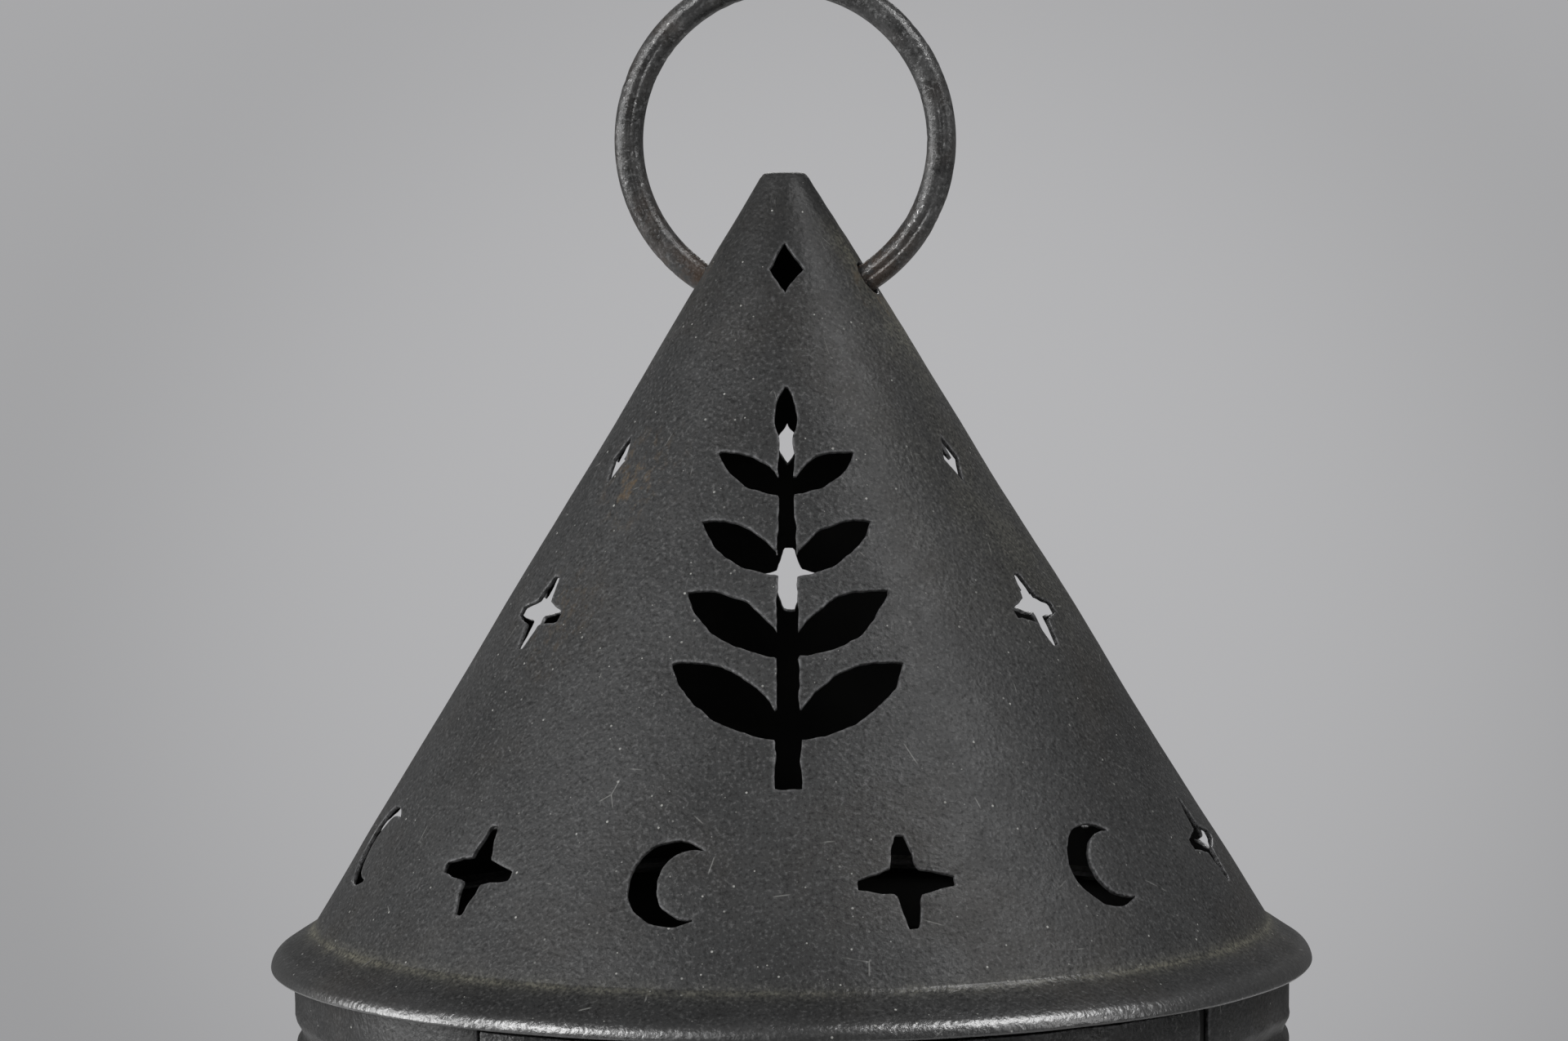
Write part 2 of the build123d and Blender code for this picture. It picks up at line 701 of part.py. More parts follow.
def knob_frame():
    """Frame of the knob near the door's free edge."""
    return wall_frame(LATCH_AZIMUTH + arc_angle(KNOB_SETBACK), DOOR_MIDDLE)


def door_panel():
    """Curved door, level with the wall, with its rivet holes and cut-outs."""
    panel = wall(BODY_RADIUS) & wall_piece(DOOR_FOOT, DOOR_TOP, DOOR_LEFT, DOOR_RIGHT)
    cutters = door_cutters() + rivet_holes(hinge_rivet_frames(-1), LEAF_GRIP)
    cutters += holes([knob_frame()], KNOB_STEM_RADIUS + RIVET_PLAY, 2 * TIN)
    return panel - cutters


def door_stop():
    """Strip inside the opening that the door's free edge closes against."""
    outer = WALL_INSIDE - STOP_GAP
    low = DOOR_MIDDLE - STOP_LENGTH / 2
    first = LATCH_AZIMUTH - arc_angle(STOP_HOLD)
    last = LATCH_AZIMUTH + arc_angle(STOP_LAP)
    strip = sector(outer - TIN, outer, low, low + STOP_LENGTH, first, last)
    return strip - rivet_holes(stop_rivet_frames(), STOP_GRIP)


def hinge_axis(middle):
    """Frame on the hinges' common axis at this height."""
    return Plane(outward(HINGE_AZIMUTH) * HINGE_AXIS + Vector(0, 0, middle))


def leaf_plate(middle, side):
    """Plate of a hinge leaf on the wall, from the axis to two round corners."""
    low = middle - HINGE_HEIGHT / 2
    high = middle + HINGE_HEIGHT / 2
    far = HINGE_AZIMUTH + side * arc_angle(LEAF_LENGTH)
    plate = sector(BODY_RADIUS, BODY_RADIUS + LEAF, low, high, *sorted((HINGE_AZIMUTH, far)))
    corners = [outward(far) * (BODY_RADIUS + LEAF / 2) + Vector(0, 0, z) for z in (low, high)]
    return fillet([plate.edges().sort_by_distance(corner)[0] for corner in corners], LEAF_CORNER)


def hinge_leaf(middle, side):
    """Leaf on one side of the slot: the body's has the outer two knuckles, the door's the middle one."""
    end = HINGE_HEIGHT / 2
    step = HINGE_HEIGHT / 6
    inner_end = step - KNUCKLE_GAP
    if side > 0:
        own = [(-end, -step), (step, end)]
        other = [(-step, step)]
    else:
        own = [(-inner_end, inner_end)]
        other = [(-end, -inner_end), (inner_end, end)]
    axis = hinge_axis(middle)
    leaf = leaf_plate(middle, side)
    leaf = leaf - [placed(axis, rod(KNUCKLE + KNUCKLE_GAP, *span)) for span in other]
    for span in own:
        leaf = leaf + placed(axis, rod(KNUCKLE, *span))
    bore = placed(axis, rod(PIN_RADIUS + PIN_PLAY, -end, end))
    return leaf - ([bore] + rivet_holes(leaf_rivet_frames(middle, side), LEAF_GRIP))


def hinge_pin(middle):
    """Pin with a domed head above and below the knuckles."""
    reach = HINGE_HEIGHT / 2 + PIN_PLAY
    cap = dome(PIN_RADIUS + PIN_HEAD_LIP, PIN_HEAD_HEIGHT)
    pin = rod(PIN_RADIUS, -reach, reach) + Pos(0, 0, reach) * cap + Pos(0, 0, -reach) * Rot(180, 0, 0) * cap
    return placed(hinge_axis(middle), pin)


BUTTON_BASE = TIN + BUTTON_PLAY


def turn_button():
    """Flat button with round ends, upright at rest."""
    length = 2 * (CATCH_ARC + BUTTON_LAP)
    shape = Rot(0, 0, 90) * SlotOverall(length, BUTTON_WIDTH) - Circle(CATCH_PIN_RADIUS + PIN_PLAY)
    return placed(catch_frame(), extrude(Pos(0, 0, BUTTON_BASE) * shape, BUTTON))


def turn_button_washer():
    """Washer that holds the button off the wall."""
    shape = Circle(CATCH_FOOT) - Circle(CATCH_PIN_RADIUS + PIN_PLAY)
    return placed(catch_frame(), extrude(shape, TIN))


def turn_button_rivet():
    """Rivet that the button turns on."""
    top = BUTTON_BASE + BUTTON + BUTTON_PLAY
    foot = -TIN - hollow(CATCH_FOOT, WALL_INSIDE)
    head = Pos(0, 0, top) * dome(CATCH_FOOT, CATCH_HEAD_HEIGHT)
    tail = rod(CATCH_FOOT, foot - RIVET_TAIL, foot)
    return placed(catch_frame(), rod(CATCH_PIN_RADIUS, foot, top) + head + tail)


def door_knob():
    """Ball knob on a collared stem, riveted over inside the door."""
    foot_radius = KNOB_STEM_RADIUS + KNOB_COLLAR_LIP
    foot = -TIN - hollow(foot_radius, WALL_INSIDE)
    knob = rod(KNOB_STEM_RADIUS, foot, KNOB_LENGTH - KNOB_RADIUS)
    knob = knob + rod(foot_radius, 0, TIN) + rod(foot_radius, foot - RIVET_TAIL, foot)
    return placed(knob_frame(), knob + Pos(0, 0, KNOB_LENGTH - KNOB_RADIUS) * Sphere(KNOB_RADIUS))


def pieces():
    """All pieces by name."""
    found = {
        "roof_cone": roof_cone(),
        "roof_rim": roof_rim(),
        "roof_collar": roof_collar(),
        "roof_seam_rivets": riveted(roof_seam_frames(), ROOF_SEAM_GRIP),
        "carrying_ring": carrying_ring(),
        "body_shell": body_shell(),
        "body_seam_rivets": riveted(body_seam_frames(), BODY_SEAM_GRIP),
        "base_rim": base_rim(),
        "floor_pan": floor_pan(),
        "drip_pan": drip_pan(),
        "candle_socket": candle_socket(),
        "socket_rivets": riveted(socket_rivet_frames(), SOCKET_GRIP),
        "door_panel": door_panel(),
        "door_stop": door_stop(),
        "door_stop_rivets": riveted(stop_rivet_frames(), STOP_GRIP),
        "hinge_body_rivets": riveted(hinge_rivet_frames(1), LEAF_GRIP),
        "hinge_door_rivets": riveted(hinge_rivet_frames(-1), LEAF_GRIP),
        "turn_button": turn_button(),
        "turn_button_washer": turn_button_washer(),
        "turn_button_rivet": turn_button_rivet(),
        "door_knob": door_knob(),
    }
    for name, middle in HINGES.items():
        found[f"{name}_hinge_body_leaf"] = hinge_leaf(middle, 1)
        found[f"{name}_hinge_door_leaf"] = hinge_leaf(middle, -1)
        found[f"{name}_hinge_pin"] = hinge_pin(middle)
    return found


os.makedirs("parts", exist_ok=True)
for name, shape in pieces().items():
    export_step(shape, f"parts/{name}.step")
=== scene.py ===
import json
from math import asin, atan2, cos, degrees, pi, radians, sin, tan

import bmesh
import bpy
import numpy as np
from mathutils import Matrix, Vector, geometry, kdtree, noise

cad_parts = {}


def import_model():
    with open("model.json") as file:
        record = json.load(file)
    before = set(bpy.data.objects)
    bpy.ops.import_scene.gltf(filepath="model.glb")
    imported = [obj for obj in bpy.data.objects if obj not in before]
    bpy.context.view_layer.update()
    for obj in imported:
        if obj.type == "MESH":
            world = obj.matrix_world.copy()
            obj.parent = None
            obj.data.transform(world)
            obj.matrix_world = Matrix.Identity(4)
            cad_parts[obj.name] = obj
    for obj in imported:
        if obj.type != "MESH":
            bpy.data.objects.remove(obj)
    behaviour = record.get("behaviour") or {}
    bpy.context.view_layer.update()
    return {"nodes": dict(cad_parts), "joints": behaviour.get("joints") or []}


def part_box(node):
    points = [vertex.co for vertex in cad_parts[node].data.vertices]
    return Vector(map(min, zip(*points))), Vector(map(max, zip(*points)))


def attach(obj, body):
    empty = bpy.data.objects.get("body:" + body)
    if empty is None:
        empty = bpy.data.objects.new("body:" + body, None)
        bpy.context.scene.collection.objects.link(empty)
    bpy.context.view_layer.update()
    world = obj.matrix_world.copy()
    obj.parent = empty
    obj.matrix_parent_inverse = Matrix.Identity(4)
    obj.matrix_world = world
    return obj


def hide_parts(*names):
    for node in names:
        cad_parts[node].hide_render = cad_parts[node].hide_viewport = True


# Looks of a punched tin lantern. Mesh code works in millimetres, objects are in metres.
# An azimuth counts from the front (-Y) towards the right side (+X). The tables give it in degrees.

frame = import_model()
MM = 0.001


def reach(node, axis):
    """Lowest and highest place of a node along an axis, in millimetres."""
    low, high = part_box(node)
    return low[axis] / MM, high[axis] / MM


# Sizes read from the frame
BODY_RADIUS = reach("body_shell", 0)[1]
WALL_TOP = reach("body_shell", 2)[1]
ROOF_FOOT = reach("roof_cone", 0)[1]
EAVE_HEIGHT, TIP_HEIGHT = reach("roof_cone", 2)
EAVE_EDGE = reach("roof_rim", 2)[0]
RIM_RADIUS = reach("roof_rim", 0)[1]
BASE_RIM_TOP = reach("base_rim", 2)[1]
DOOR_TOP = reach("door_panel", 2)[1]
RING_END, RING_TOP = reach("carrying_ring", 2)
JOINTS = {joint["name"]: joint for joint in frame["joints"]}

# Sizes shared with the solids
TIN = 0.8
SEAM_AZIMUTH = 150.0
SEAM_WIDTH = 9.0
SEAM_END_GAP = 0.6
ROOF_SEAM_TOP = 14.0
TIP_RADIUS = 3.6
GROOVE_HEIGHT = EAVE_HEIGHT - 17.5
GROOVE_DEPTH = 1.2
RIM_SLOPE = radians(33.0)
RIM_FLANGE = 4.0
RIM_SEAT = BODY_RADIUS + 0.05
NOSE = 3.5
LIP = 1.3
RING_RADIUS = 27.8
RING_BAR = 5.0
RING_HEAD_LIP = 1.6
RING_HEAD_LENGTH = 2.2

# Forms softer than the solids': the worn edge of the tip, the filled corner of roof and bead, the groove
TIP_FILLET = 1.5
FILLET = 1.3
GROOVE_HALF = 3.0

# Cone that the roof's outer face lies on
CONE_ANGLE = atan2(ROOF_FOOT - TIP_RADIUS, TIP_HEIGHT - EAVE_HEIGHT)
APEX_HEIGHT = TIP_HEIGHT + TIP_RADIUS / tan(CONE_ANGLE)
FOOT_SLANT = ROOF_FOOT / sin(CONE_ANGLE)
TIP_SLANT = (TIP_RADIUS + TIP_FILLET * 0.4) / sin(CONE_ANGLE)
FAN_HALF = pi * sin(CONE_ANGLE)

# Hand-cut edges of the sheets
CUT_STEP = 0.65
CUT_WOBBLE = 0.34
NEAT_WOBBLE = 0.08
CUT_BEVEL = 0.2
CURL_DEPTH = 0.14
CURL_REACH = 1.1
EDGE_WEAR = 0.45
EDGE_WEAR_REACH = 0.3
SMALL_HOLE = 16.0
SEAM_CLEAR = radians(5)

# Meshing: points along cut edges and on the sheets, and how much room they leave each other
CUT_RINGS = (0.55, 1.1, 2.0)
CUT_ROOM = 0.8
GRID_STEP = 2.4
GRID_ROWS = 0.87
GRID_ROOM = 0.55
EXTRA_ROOM = 0.3
FOOT_ROWS = (0.4, 0.8, 1.3, 1.9, 2.6)
GROOVE_ROWS = 9
GROOVE_STEP = 1.8
FAN_FOOT_POINTS = 420
FAN_TIP_POINTS = 49
FAN_SIDE_POINTS = 70
TIP_SEGMENTS = 48
BEAD_SEGMENTS = 400
SKIN_TOLERANCE = 0.03
FACING_OUT = 0.35
WELD = 0.002
SLIVER = 0.001
SHARP_ANGLE = radians(60)
OUTER, INNER = 0, 1


def outward(turn):
    """Unit vectors away from the axis, for azimuths in radians."""
    return np.stack([np.sin(turn), -np.cos(turn), np.zeros_like(turn)], axis=1)


def azimuths(points):
    """Azimuths of points, in radians."""
    return np.arctan2(points[:, 0], -points[:, 1])


def radii(points):
    """Distances of points from the axis."""
    return np.hypot(points[:, 0], points[:, 1])


def slants(points):
    """Distances of points on the roof from its apex, along the sheet."""
    return (APEX_HEIGHT - points[:, 2]) / cos(CONE_ANGLE)


def wrapped(turn):
    """Angles brought between minus and plus half a turn."""
    return (turn + pi) % (2 * pi) - pi


def rough(points, wavelength, octaves=2, seed=0.0):
    """Smooth noise from about -1 to 1 at points in millimetres."""
    total = np.zeros(len(points))
    for octave in range(octaves):
        scale = 2**octave / wavelength
        shift = Vector((seed, 7.3 * octave, -seed))
        values = [noise.noise(Vector(point) * scale + shift) for point in points]
        total += np.array(values) / 2**octave
    return total


def nothing(points):
    """No dents, wear, dust or rust."""
    return np.zeros(len(points))


def unmoved(points):
    """Neither growth nor rise."""
    return nothing(points), nothing(points)


class ConeSheet:
    """Sheet rolled to the roof's cone.

    Its flat pattern is a fan with the apex at the origin and y towards the apex.
    """

    def __init__(self, middle):
        self.middle = radians(middle)

    def flat(self, points):
        turn = wrapped(azimuths(points) - self.middle) * sin(CONE_ANGLE)
        slant = slants(points)
        return np.stack([slant * np.sin(turn), -slant * np.cos(turn)], axis=1)

    def place(self, flat, lift):
        slant = np.hypot(flat[:, 0], flat[:, 1])
        turn = np.arctan2(flat[:, 0], -flat[:, 1]) / sin(CONE_ANGLE) + self.middle
        away = outward(turn)
        points = away * (slant * sin(CONE_ANGLE))[:, None]
        points[:, 2] = APEX_HEIGHT - slant * cos(CONE_ANGLE)
        normals = away * cos(CONE_ANGLE)
        normals[:, 2] = sin(CONE_ANGLE)
        return points + normals * lift[:, None]

    def off(self, points):
        """Distance of points from the cone, outward."""
        slant_radius = (APEX_HEIGHT - points[:, 2]) * tan(CONE_ANGLE)
        return (radii(points) - slant_radius) * cos(CONE_ANGLE)


def groove(heights):
    """Depth of the swaged groove at these heights."""
    across = np.clip((heights - GROOVE_HEIGHT) / GROOVE_HALF, -1, 1)
    return GROOVE_DEPTH * np.cos(across * pi / 2) ** 2


class WallSheet:
    """Sheet rolled to the body's cylinder. Its flat pattern has x along the wall and y up."""

    def __init__(self, middle):
        self.middle = radians(middle)

    def flat(self, points):
        return np.stack([wrapped(azimuths(points) - self.middle) * BODY_RADIUS, points[:, 2]], axis=1)

    def place(self, flat, lift):
        away = outward(flat[:, 0] / BODY_RADIUS + self.middle)
        points = away * (BODY_RADIUS + lift - groove(flat[:, 1]))[:, None]
        points[:, 2] = flat[:, 1]
        return points

    def off(self, points):
        """Distance of points from the wall's outer face, outward; the groove counts as the face."""
        radius = radii(points)
        inside_groove = np.abs(points[:, 2] - GROOVE_HEIGHT) < GROOVE_HALF
        miss = radius - BODY_RADIUS
        return np.where(inside_groove & (miss > -GROOVE_DEPTH - 0.05) & (miss < 0), 0.0, miss)


# Outlines of the cut-outs, read from the solids


def skin_loops(node, surface):
    """Closed boundary loops of a node's outer skin; loops round the axis are left out."""
    mesh = frame["nodes"][node].data
    points = np.array([vertex.co for vertex in mesh.vertices]) / MM
    keys = {}
    ids = np.array([keys.setdefault(tuple(key), len(keys)) for key in np.round(points, 3)])
    on_skin = np.abs(surface.off(points)) < SKIN_TOLERANCE
    ahead = {}
    place = {}
    for polygon in mesh.polygons:
        corners = list(polygon.vertices)
        if not all(on_skin[corner] for corner in corners):
            continue
        middle = points[corners].mean(axis=0)
        away = outward(np.array([atan2(middle[0], -middle[1])]))[0]
        if np.dot(polygon.normal, away) < FACING_OUT:
            continue
        for first, second in zip(corners, corners[1:] + corners[:1]):
            a, b = ids[first], ids[second]
            place[a] = points[first]
            if ahead.get(b) and a in ahead[b]:
                ahead[b].remove(a)
            else:
                ahead.setdefault(a, []).append(b)
    loops = []
    while any(ahead.values()):
        start = next(key for key, nexts in ahead.items() if nexts)
        chain = [start]
        while ahead.get(chain[-1]):
            chain.append(ahead[chain[-1]].pop())
        loop = np.array([place[key] for key in chain[:-1]])
        if len(loop) < 3:
            continue
        steps = wrapped(np.diff(azimuths(np.vstack([loop, loop[:1]]))))
        if abs(steps.sum()) < pi:
            loops.append(loop)
    return loops


def loop_length(loop):
    return np.linalg.norm(np.roll(loop, -1, axis=0) - loop, axis=1).sum()


def signed_area(loop):
    ahead = np.roll(loop, -1, axis=0)
    return 0.5 * np.sum(loop[:, 0] * ahead[:, 1] - ahead[:, 0] * loop[:, 1])


def resampled(loop, step):
    """Closed outline with evenly spaced points."""
    closed = np.vstack([loop, loop[:1]])
    run = np.concatenate([[0], np.cumsum(np.linalg.norm(np.diff(closed, axis=0), axis=1))])
    at = np.linspace(0, run[-1], max(8, round(run[-1] / step)), endpoint=False)
    return np.stack([np.interp(at, run, closed[:, axis]) for axis in (0, 1)], axis=1)


def left_normals(loop):
    """Unit normals to the left of a closed outline."""
    along = np.roll(loop, -1, axis=0) - np.roll(loop, 1, axis=0)
    along /= np.maximum(np.linalg.norm(along, axis=1), 1e-9)[:, None]
    return np.stack([-along[:, 1], along[:, 0]], axis=1)


def hand_cut(loop, wobble):
    """Outline as cut by hand: evenly sampled, a little uneven."""
    loop = resampled(loop, CUT_STEP)
    points = np.column_stack([loop, np.full(len(loop), 3.7)])
    shift = wobble * (rough(points, 4.5, 2, 11.0) + 0.5 * rough(points, 1.4, 1, 5.0))
    return loop + left_normals(loop) * shift[:, None]


def within(points, loop):
    """Which points lie inside a closed outline."""
    result = np.zeros(len(points), bool)
    low, high = loop.min(axis=0), loop.max(axis=0)
    near = np.nonzero(((points >= low) & (points <= high)).all(axis=1))[0]
    x, y = points[near, 0], points[near, 1]
    odd = np.zeros(len(near), bool)
    for (x0, y0), (x1, y1) in zip(loop, np.roll(loop, -1, axis=0)):
        if y0 == y1:
            continue
        crosses = (y0 > y) != (y1 > y)
        odd ^= crosses & (x < (x1 - x0) * (y - y0) / (y1 - y0) + x0)
    result[near] = odd
    return result


def on_sheet(points, rings):
    """Which flat points lie inside the outer ring and outside the cut-outs."""
    keep = within(points, rings[0])
    for ring in rings[1:]:
        keep &= ~within(points, ring)
    return keep


def distances(points, tree):
    """Distance of flat points to the nearest point of a tree."""
    return np.array([tree.find((x, y, 0))[2] for x, y in points])


def tree_of(loops):
    points = np.vstack(loops)
    tree = kdtree.KDTree(len(points))
    for index, (x, y) in enumerate(points):
        tree.insert((x, y, 0), index)
    tree.balance()
    return tree


def grid_points(outer):
    """Staggered grid over an outline's box."""
    low, high = outer.min(axis=0), outer.max(axis=0)
    rows = np.arange(low[1], high[1], GRID_STEP * GRID_ROWS)
    grid = []
    for index, y in enumerate(rows):
        x = np.arange(low[0] + GRID_STEP / 2 * (index % 2), high[0], GRID_STEP)
        grid.append(np.column_stack([x, np.full(len(x), y)]))
    return np.vstack(grid)


# Meshes


def scene_object(name, data):
    """New object in the scene."""
    made = bpy.data.objects.new(name, data)
    bpy.context.scene.collection.objects.link(made)
    return made


def new_object(name, points, faces, materials, body, kinds=None, **weights):
    """Smooth welded mesh from points in millimetres, on a body, with per-point weights for its material."""
    mesh = bpy.data.meshes.new(name)
    mesh.from_pydata((np.asarray(points) * MM).tolist(), [], [tuple(map(int, face)) for face in faces])
    for label, values in weights.items():
        layer = mesh.attributes.new(label, "FLOAT", "POINT")
        layer.data.foreach_set("value", np.asarray(values, np.float32))
    if kinds is not None:
        mesh.polygons.foreach_set("material_index", np.asarray(kinds, np.int32))
    work = bmesh.new()
    work.from_mesh(mesh)
    bmesh.ops.remove_doubles(work, verts=work.verts, dist=WELD * MM)
    bmesh.ops.dissolve_degenerate(work, edges=work.edges, dist=SLIVER * MM)
    bmesh.ops.recalc_face_normals(work, faces=work.faces)
    work.to_mesh(mesh)
    work.free()
    mesh.shade_smooth()
    mesh.set_sharp_from_angle(angle=SHARP_ANGLE)
    for material in materials:
        mesh.materials.append(material)
    made = scene_object(name, mesh)
    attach(made, body)
    return made


def edge_rows(bevel):
    """Inset and depth of the rows that round a sheet's edge, from the outer skin to the inner one."""
    quarter = [(bevel * (1 - sin(a)), bevel * (1 - cos(a))) for a in (0, pi / 6, pi / 3, pi / 2)]
    return quarter + [(inset, TIN - depth) for inset, depth in reversed(quarter)]


def row_quads(rows, count, start=0):
    """Faces between rows of points that each close on themselves."""
    quads = []
    for row in range(rows - 1):
        here = start + row * count
        below = here + count
        for i in range(count):
            j = (i + 1) % count
            quads.append((here + i, below + i, below + j, here + j))
    return quads


class Patch:
    """Points, faces and weights that build up to one mesh."""

    def __init__(self):
        self.points = []
        self.faces = []
        self.kinds = []
        self.weights = {"worn": [], "dust": [], "rust": []}
        self.count = 0

    def add(self, points, faces, kind, **weights):
        self.points.append(points)
        self.faces += [tuple(corner + self.count for corner in face) for face in faces]
        self.kinds += [kind] * len(faces)
        for label, values in self.weights.items():
            values.append(weights.get(label, nothing(points)))
        self.count += len(points)

    def made(self, name, materials, body):
        points = np.vstack(self.points)
        weights = {label: np.concatenate(values) for label, values in self.weights.items()}
        return new_object(name, points, self.faces, materials, body, self.kinds, **weights)


def add_sheet(patch, surface, outer, cuts, lift, dust, edge_bevel=0.0, extra=None, base=0.0, rust=nothing):
    """Adds a rolled sheet: a flat outline with cut-outs, meshed, given thickness and round cut edges.

    lift(points) gives the dents at points on the sheet, dust(points) and rust(points) what lies there.
    extra holds flat points that the mesh needs, base is the lift of a sheet that lies on another one.
    """
    outer = outer if signed_area(outer) > 0 else outer[::-1]
    cuts = [cut if signed_area(cut) < 0 else cut[::-1] for cut in cuts]
    loops = [(outer, edge_bevel)] + [(cut, CUT_BEVEL) for cut in cuts]
    rings = [loop + left_normals(loop) * bevel for loop, bevel in loops]
    free_edges = list(cuts) + ([outer] if edge_bevel else [])
    tree = tree_of(free_edges) if free_edges else None
    border = tree_of([outer] + cuts)

    groups = [(grid_points(outer), GRID_STEP * GRID_ROOM)]
    for loop in free_edges:
        normals = left_normals(loop)
        for index, step in enumerate(CUT_RINGS):
            every = slice(None, None, 1 + index)
            groups.append((loop[every] + normals[every] * step, step * CUT_ROOM))
    if extra is not None:
        groups.append((extra, EXTRA_ROOM))
    inner_points = []
    for group, room in groups:
        group = group[on_sheet(group, rings)]
        inner_points.append(group[distances(group, border) > room])
    flat = np.vstack(rings + inner_points)
    links = []
    start = 0
    for ring in rings:
        links += [(start + i, start + (i + 1) % len(ring)) for i in range(len(ring))]
        start += len(ring)
    solved = geometry.delaunay_2d_cdt([Vector(point) for point in flat], links, [], 0, 1e-5)
    flat = np.array([tuple(point) for point in solved[0]])
    faces = np.array([face for face in solved[2] if len(face) == 3])
    faces = faces[on_sheet(flat[faces].mean(axis=1), rings)]

    def placed(points, depth):
        near = distances(points, tree) if tree else np.full(len(points), np.inf)
        shape = surface.place(points, np.zeros(len(points)))
        bend = lift(shape) - CURL_DEPTH * np.exp(-((near / CURL_REACH) ** 2))
        worn = EDGE_WEAR * np.exp(-((near / EDGE_WEAR_REACH) ** 2))
        return surface.place(points, base + bend - depth), worn, dust(shape)

    skin, worn, dusty = placed(flat, 0.0)
    patch.add(skin, faces, OUTER, worn=worn, dust=dusty, rust=rust(skin))
    inside, _, _ = placed(flat, TIN)
    patch.add(inside, faces[:, ::-1], INNER)
    for loop, bevel in loops:
        normals = left_normals(loop)
        rows = [placed(loop + normals * inset, depth) for inset, depth in edge_rows(bevel)]
        points = np.vstack([row[0] for row in rows])
        worn = np.concatenate([row[1] for row in rows])
        patch.add(points, row_quads(len(rows), len(loop)), OUTER, worn=worn)


def add_lathe(patch, profile, segments, shift, worn=nothing, dust=nothing, closed=True):
    """Adds a turned shape: a profile of radius and height swept round the axis.

    shift(points) gives how far points grow outward and rise; the two functions after it give the weights of
    wear, with any painted highlight, and of dust.
    """
    profile = np.asarray(profile)
    turns = np.linspace(-pi, pi, segments, endpoint=False)
    count = len(profile)
    away = np.repeat(outward(turns), count, axis=0)
    radius = np.tile(profile[:, 0], segments)
    points = away * radius[:, None]
    points[:, 2] = np.tile(profile[:, 1], segments)
    grow, rise = shift(points)
    points = points + away * grow[:, None]
    points[:, 2] += rise
    quads = []
    last = count if closed else count - 1
    for i in range(segments):
        ahead = (i + 1) % segments
        for k in range(last):
            up = (k + 1) % count
            quads.append((i * count + k, ahead * count + k, ahead * count + up, i * count + up))
    patch.add(points, quads, OUTER, worn=worn(points), dust=dust(points))


def arc(centre, radius, first, last, count):
    """Points on an arc, angles in radians."""
    turns = np.linspace(first, last, count)
    return [(centre[0] + radius * cos(a), centre[1] + radius * sin(a)) for a in turns]


# Dents, dust and wear of the sheets

# Waves: size, wavelength and seed
ROOF_WAVES = ((0.38, 46, 3.0), (0.1, 13, 8.0))
WALL_WAVES = ((0.14, 38, 21.0), (0.05, 9, 2.0))
WALL_ROUGH = (0.13, 6, 14.0)
DOOR_WAVES = ((0.13, 30, 31.0), (0.06, 8, 4.0))
DOOR_ROUGH = (0.22, 7, 17.0)
BEAD_GROWTH = (0.1, 30, 40.0)
BEAD_RISE = (0.1, 24, 44.0)
LIP_WAVES = (0.3, 25, 6.0)

# Lengths over which the roof's waves set in at its foot and its tip
FOOT_FADE = 14
TIP_FADE = 12

# The beads are true this near to the wall and the ground, and elsewhere a little smaller than the solids
BEAD_OFF_WALL = 0.4
BEAD_OFF_GROUND = 1.0
BEAD_SHRINK = 0.03

# Round places: azimuth, height, spread, and size in millimetres or strength
ROOF_BUMPS = ((62, 318, 9, -0.5), (-70, 300, 12, 0.4))
# Pale olive places on the roof: those at 70 to 74 degrees make the right flank and the tip's right edge
# paler, the one at 230 degrees is dust on the back
ROOF_PALE_PLACES = ((72, 356, 5, 0.8), (74, 343, 7, 0.8), (70, 310, 20, 0.3), (230, 345, 12, 0.4))
ROOF_RUST = ((-47, 319, 6, 1.0), (-52, 296, 8, 0.4), (205, 300, 12, 0.8))
RING_HOLE_RUST = (RING_END + 5.0, 6, 0.9)
WALL_BUMPS = ((78, GROOVE_HEIGHT + 1, 5, 0.7), (-72, GROOVE_HEIGHT - 2, 7, -0.5))
DOOR_BUMPS = ((33, DOOR_TOP, 5, -0.7), (26, DOOR_TOP - 2, 4, 0.35))

# Worn stretches of the beads' edges: azimuth, half width in degrees and strength, and where they lie. On
# the eave, the stretches at -58 and -26 degrees are painted highlight, pale bare metal where the nose
# catches the lamps, laid over real wear; the other stretches are wear.
EAVE_WEAR_AND_HIGHLIGHT = ((-58, 6, 0.5), (-26, 14, 0.4), (62, 12, 0.5), (100, 20, 0.5), (190, 25, 0.7), (255, 14, 0.5))
FOOT_WEAR = ((15, 40, 0.4), (140, 30, 0.5), (-100, 25, 0.5))
WEAR_HEIGHT = 0.5
WEAR_OFF_WALL = 1.2

# The sheets are rougher from a little below the groove up, as far as the roof's collar
ROUGH_FROM = GROOVE_HEIGHT - 14
ROUGH_RISE = 10
ROUGH_TO = WALL_TOP - 4
ROUGH_FALL = 3

DUST_REACH = 0.8

# Skin of the ring's bar: points along and round it, forging crease in radians and millimetres, rusty ends
RING_POINTS = 300
RING_AROUND = 64
CREASE_DEPTH = 0.5
CREASE_WIDTH = 0.17
SHOULDER_RISE = 0.12
SHOULDER_WIDTH = 0.5
RING_RUST_REACH = 9.0


def bump(points, azimuth, height, spread, size):
    """Round place on the wall or roof that fades out sideways."""
    radius = radii(points)
    across = wrapped(azimuths(points) - radians(azimuth)) * radius
    rise = points[:, 2] - height
    return size * np.exp(-(across**2 + rise**2) / spread**2)


def waves(points, *kinds):
    """Several waves together."""
    return sum(size * rough(points, wavelength, 2, seed) for size, wavelength, seed in kinds)


def bumps(points, places):
    """Several round places together."""
    return sum(bump(points, *place) for place in places)


def upper_part(points):
    """How far points are up in the rougher part of wall and door, from 0 to 1."""
    return np.clip((points[:, 2] - ROUGH_FROM) / ROUGH_RISE, 0, 1)


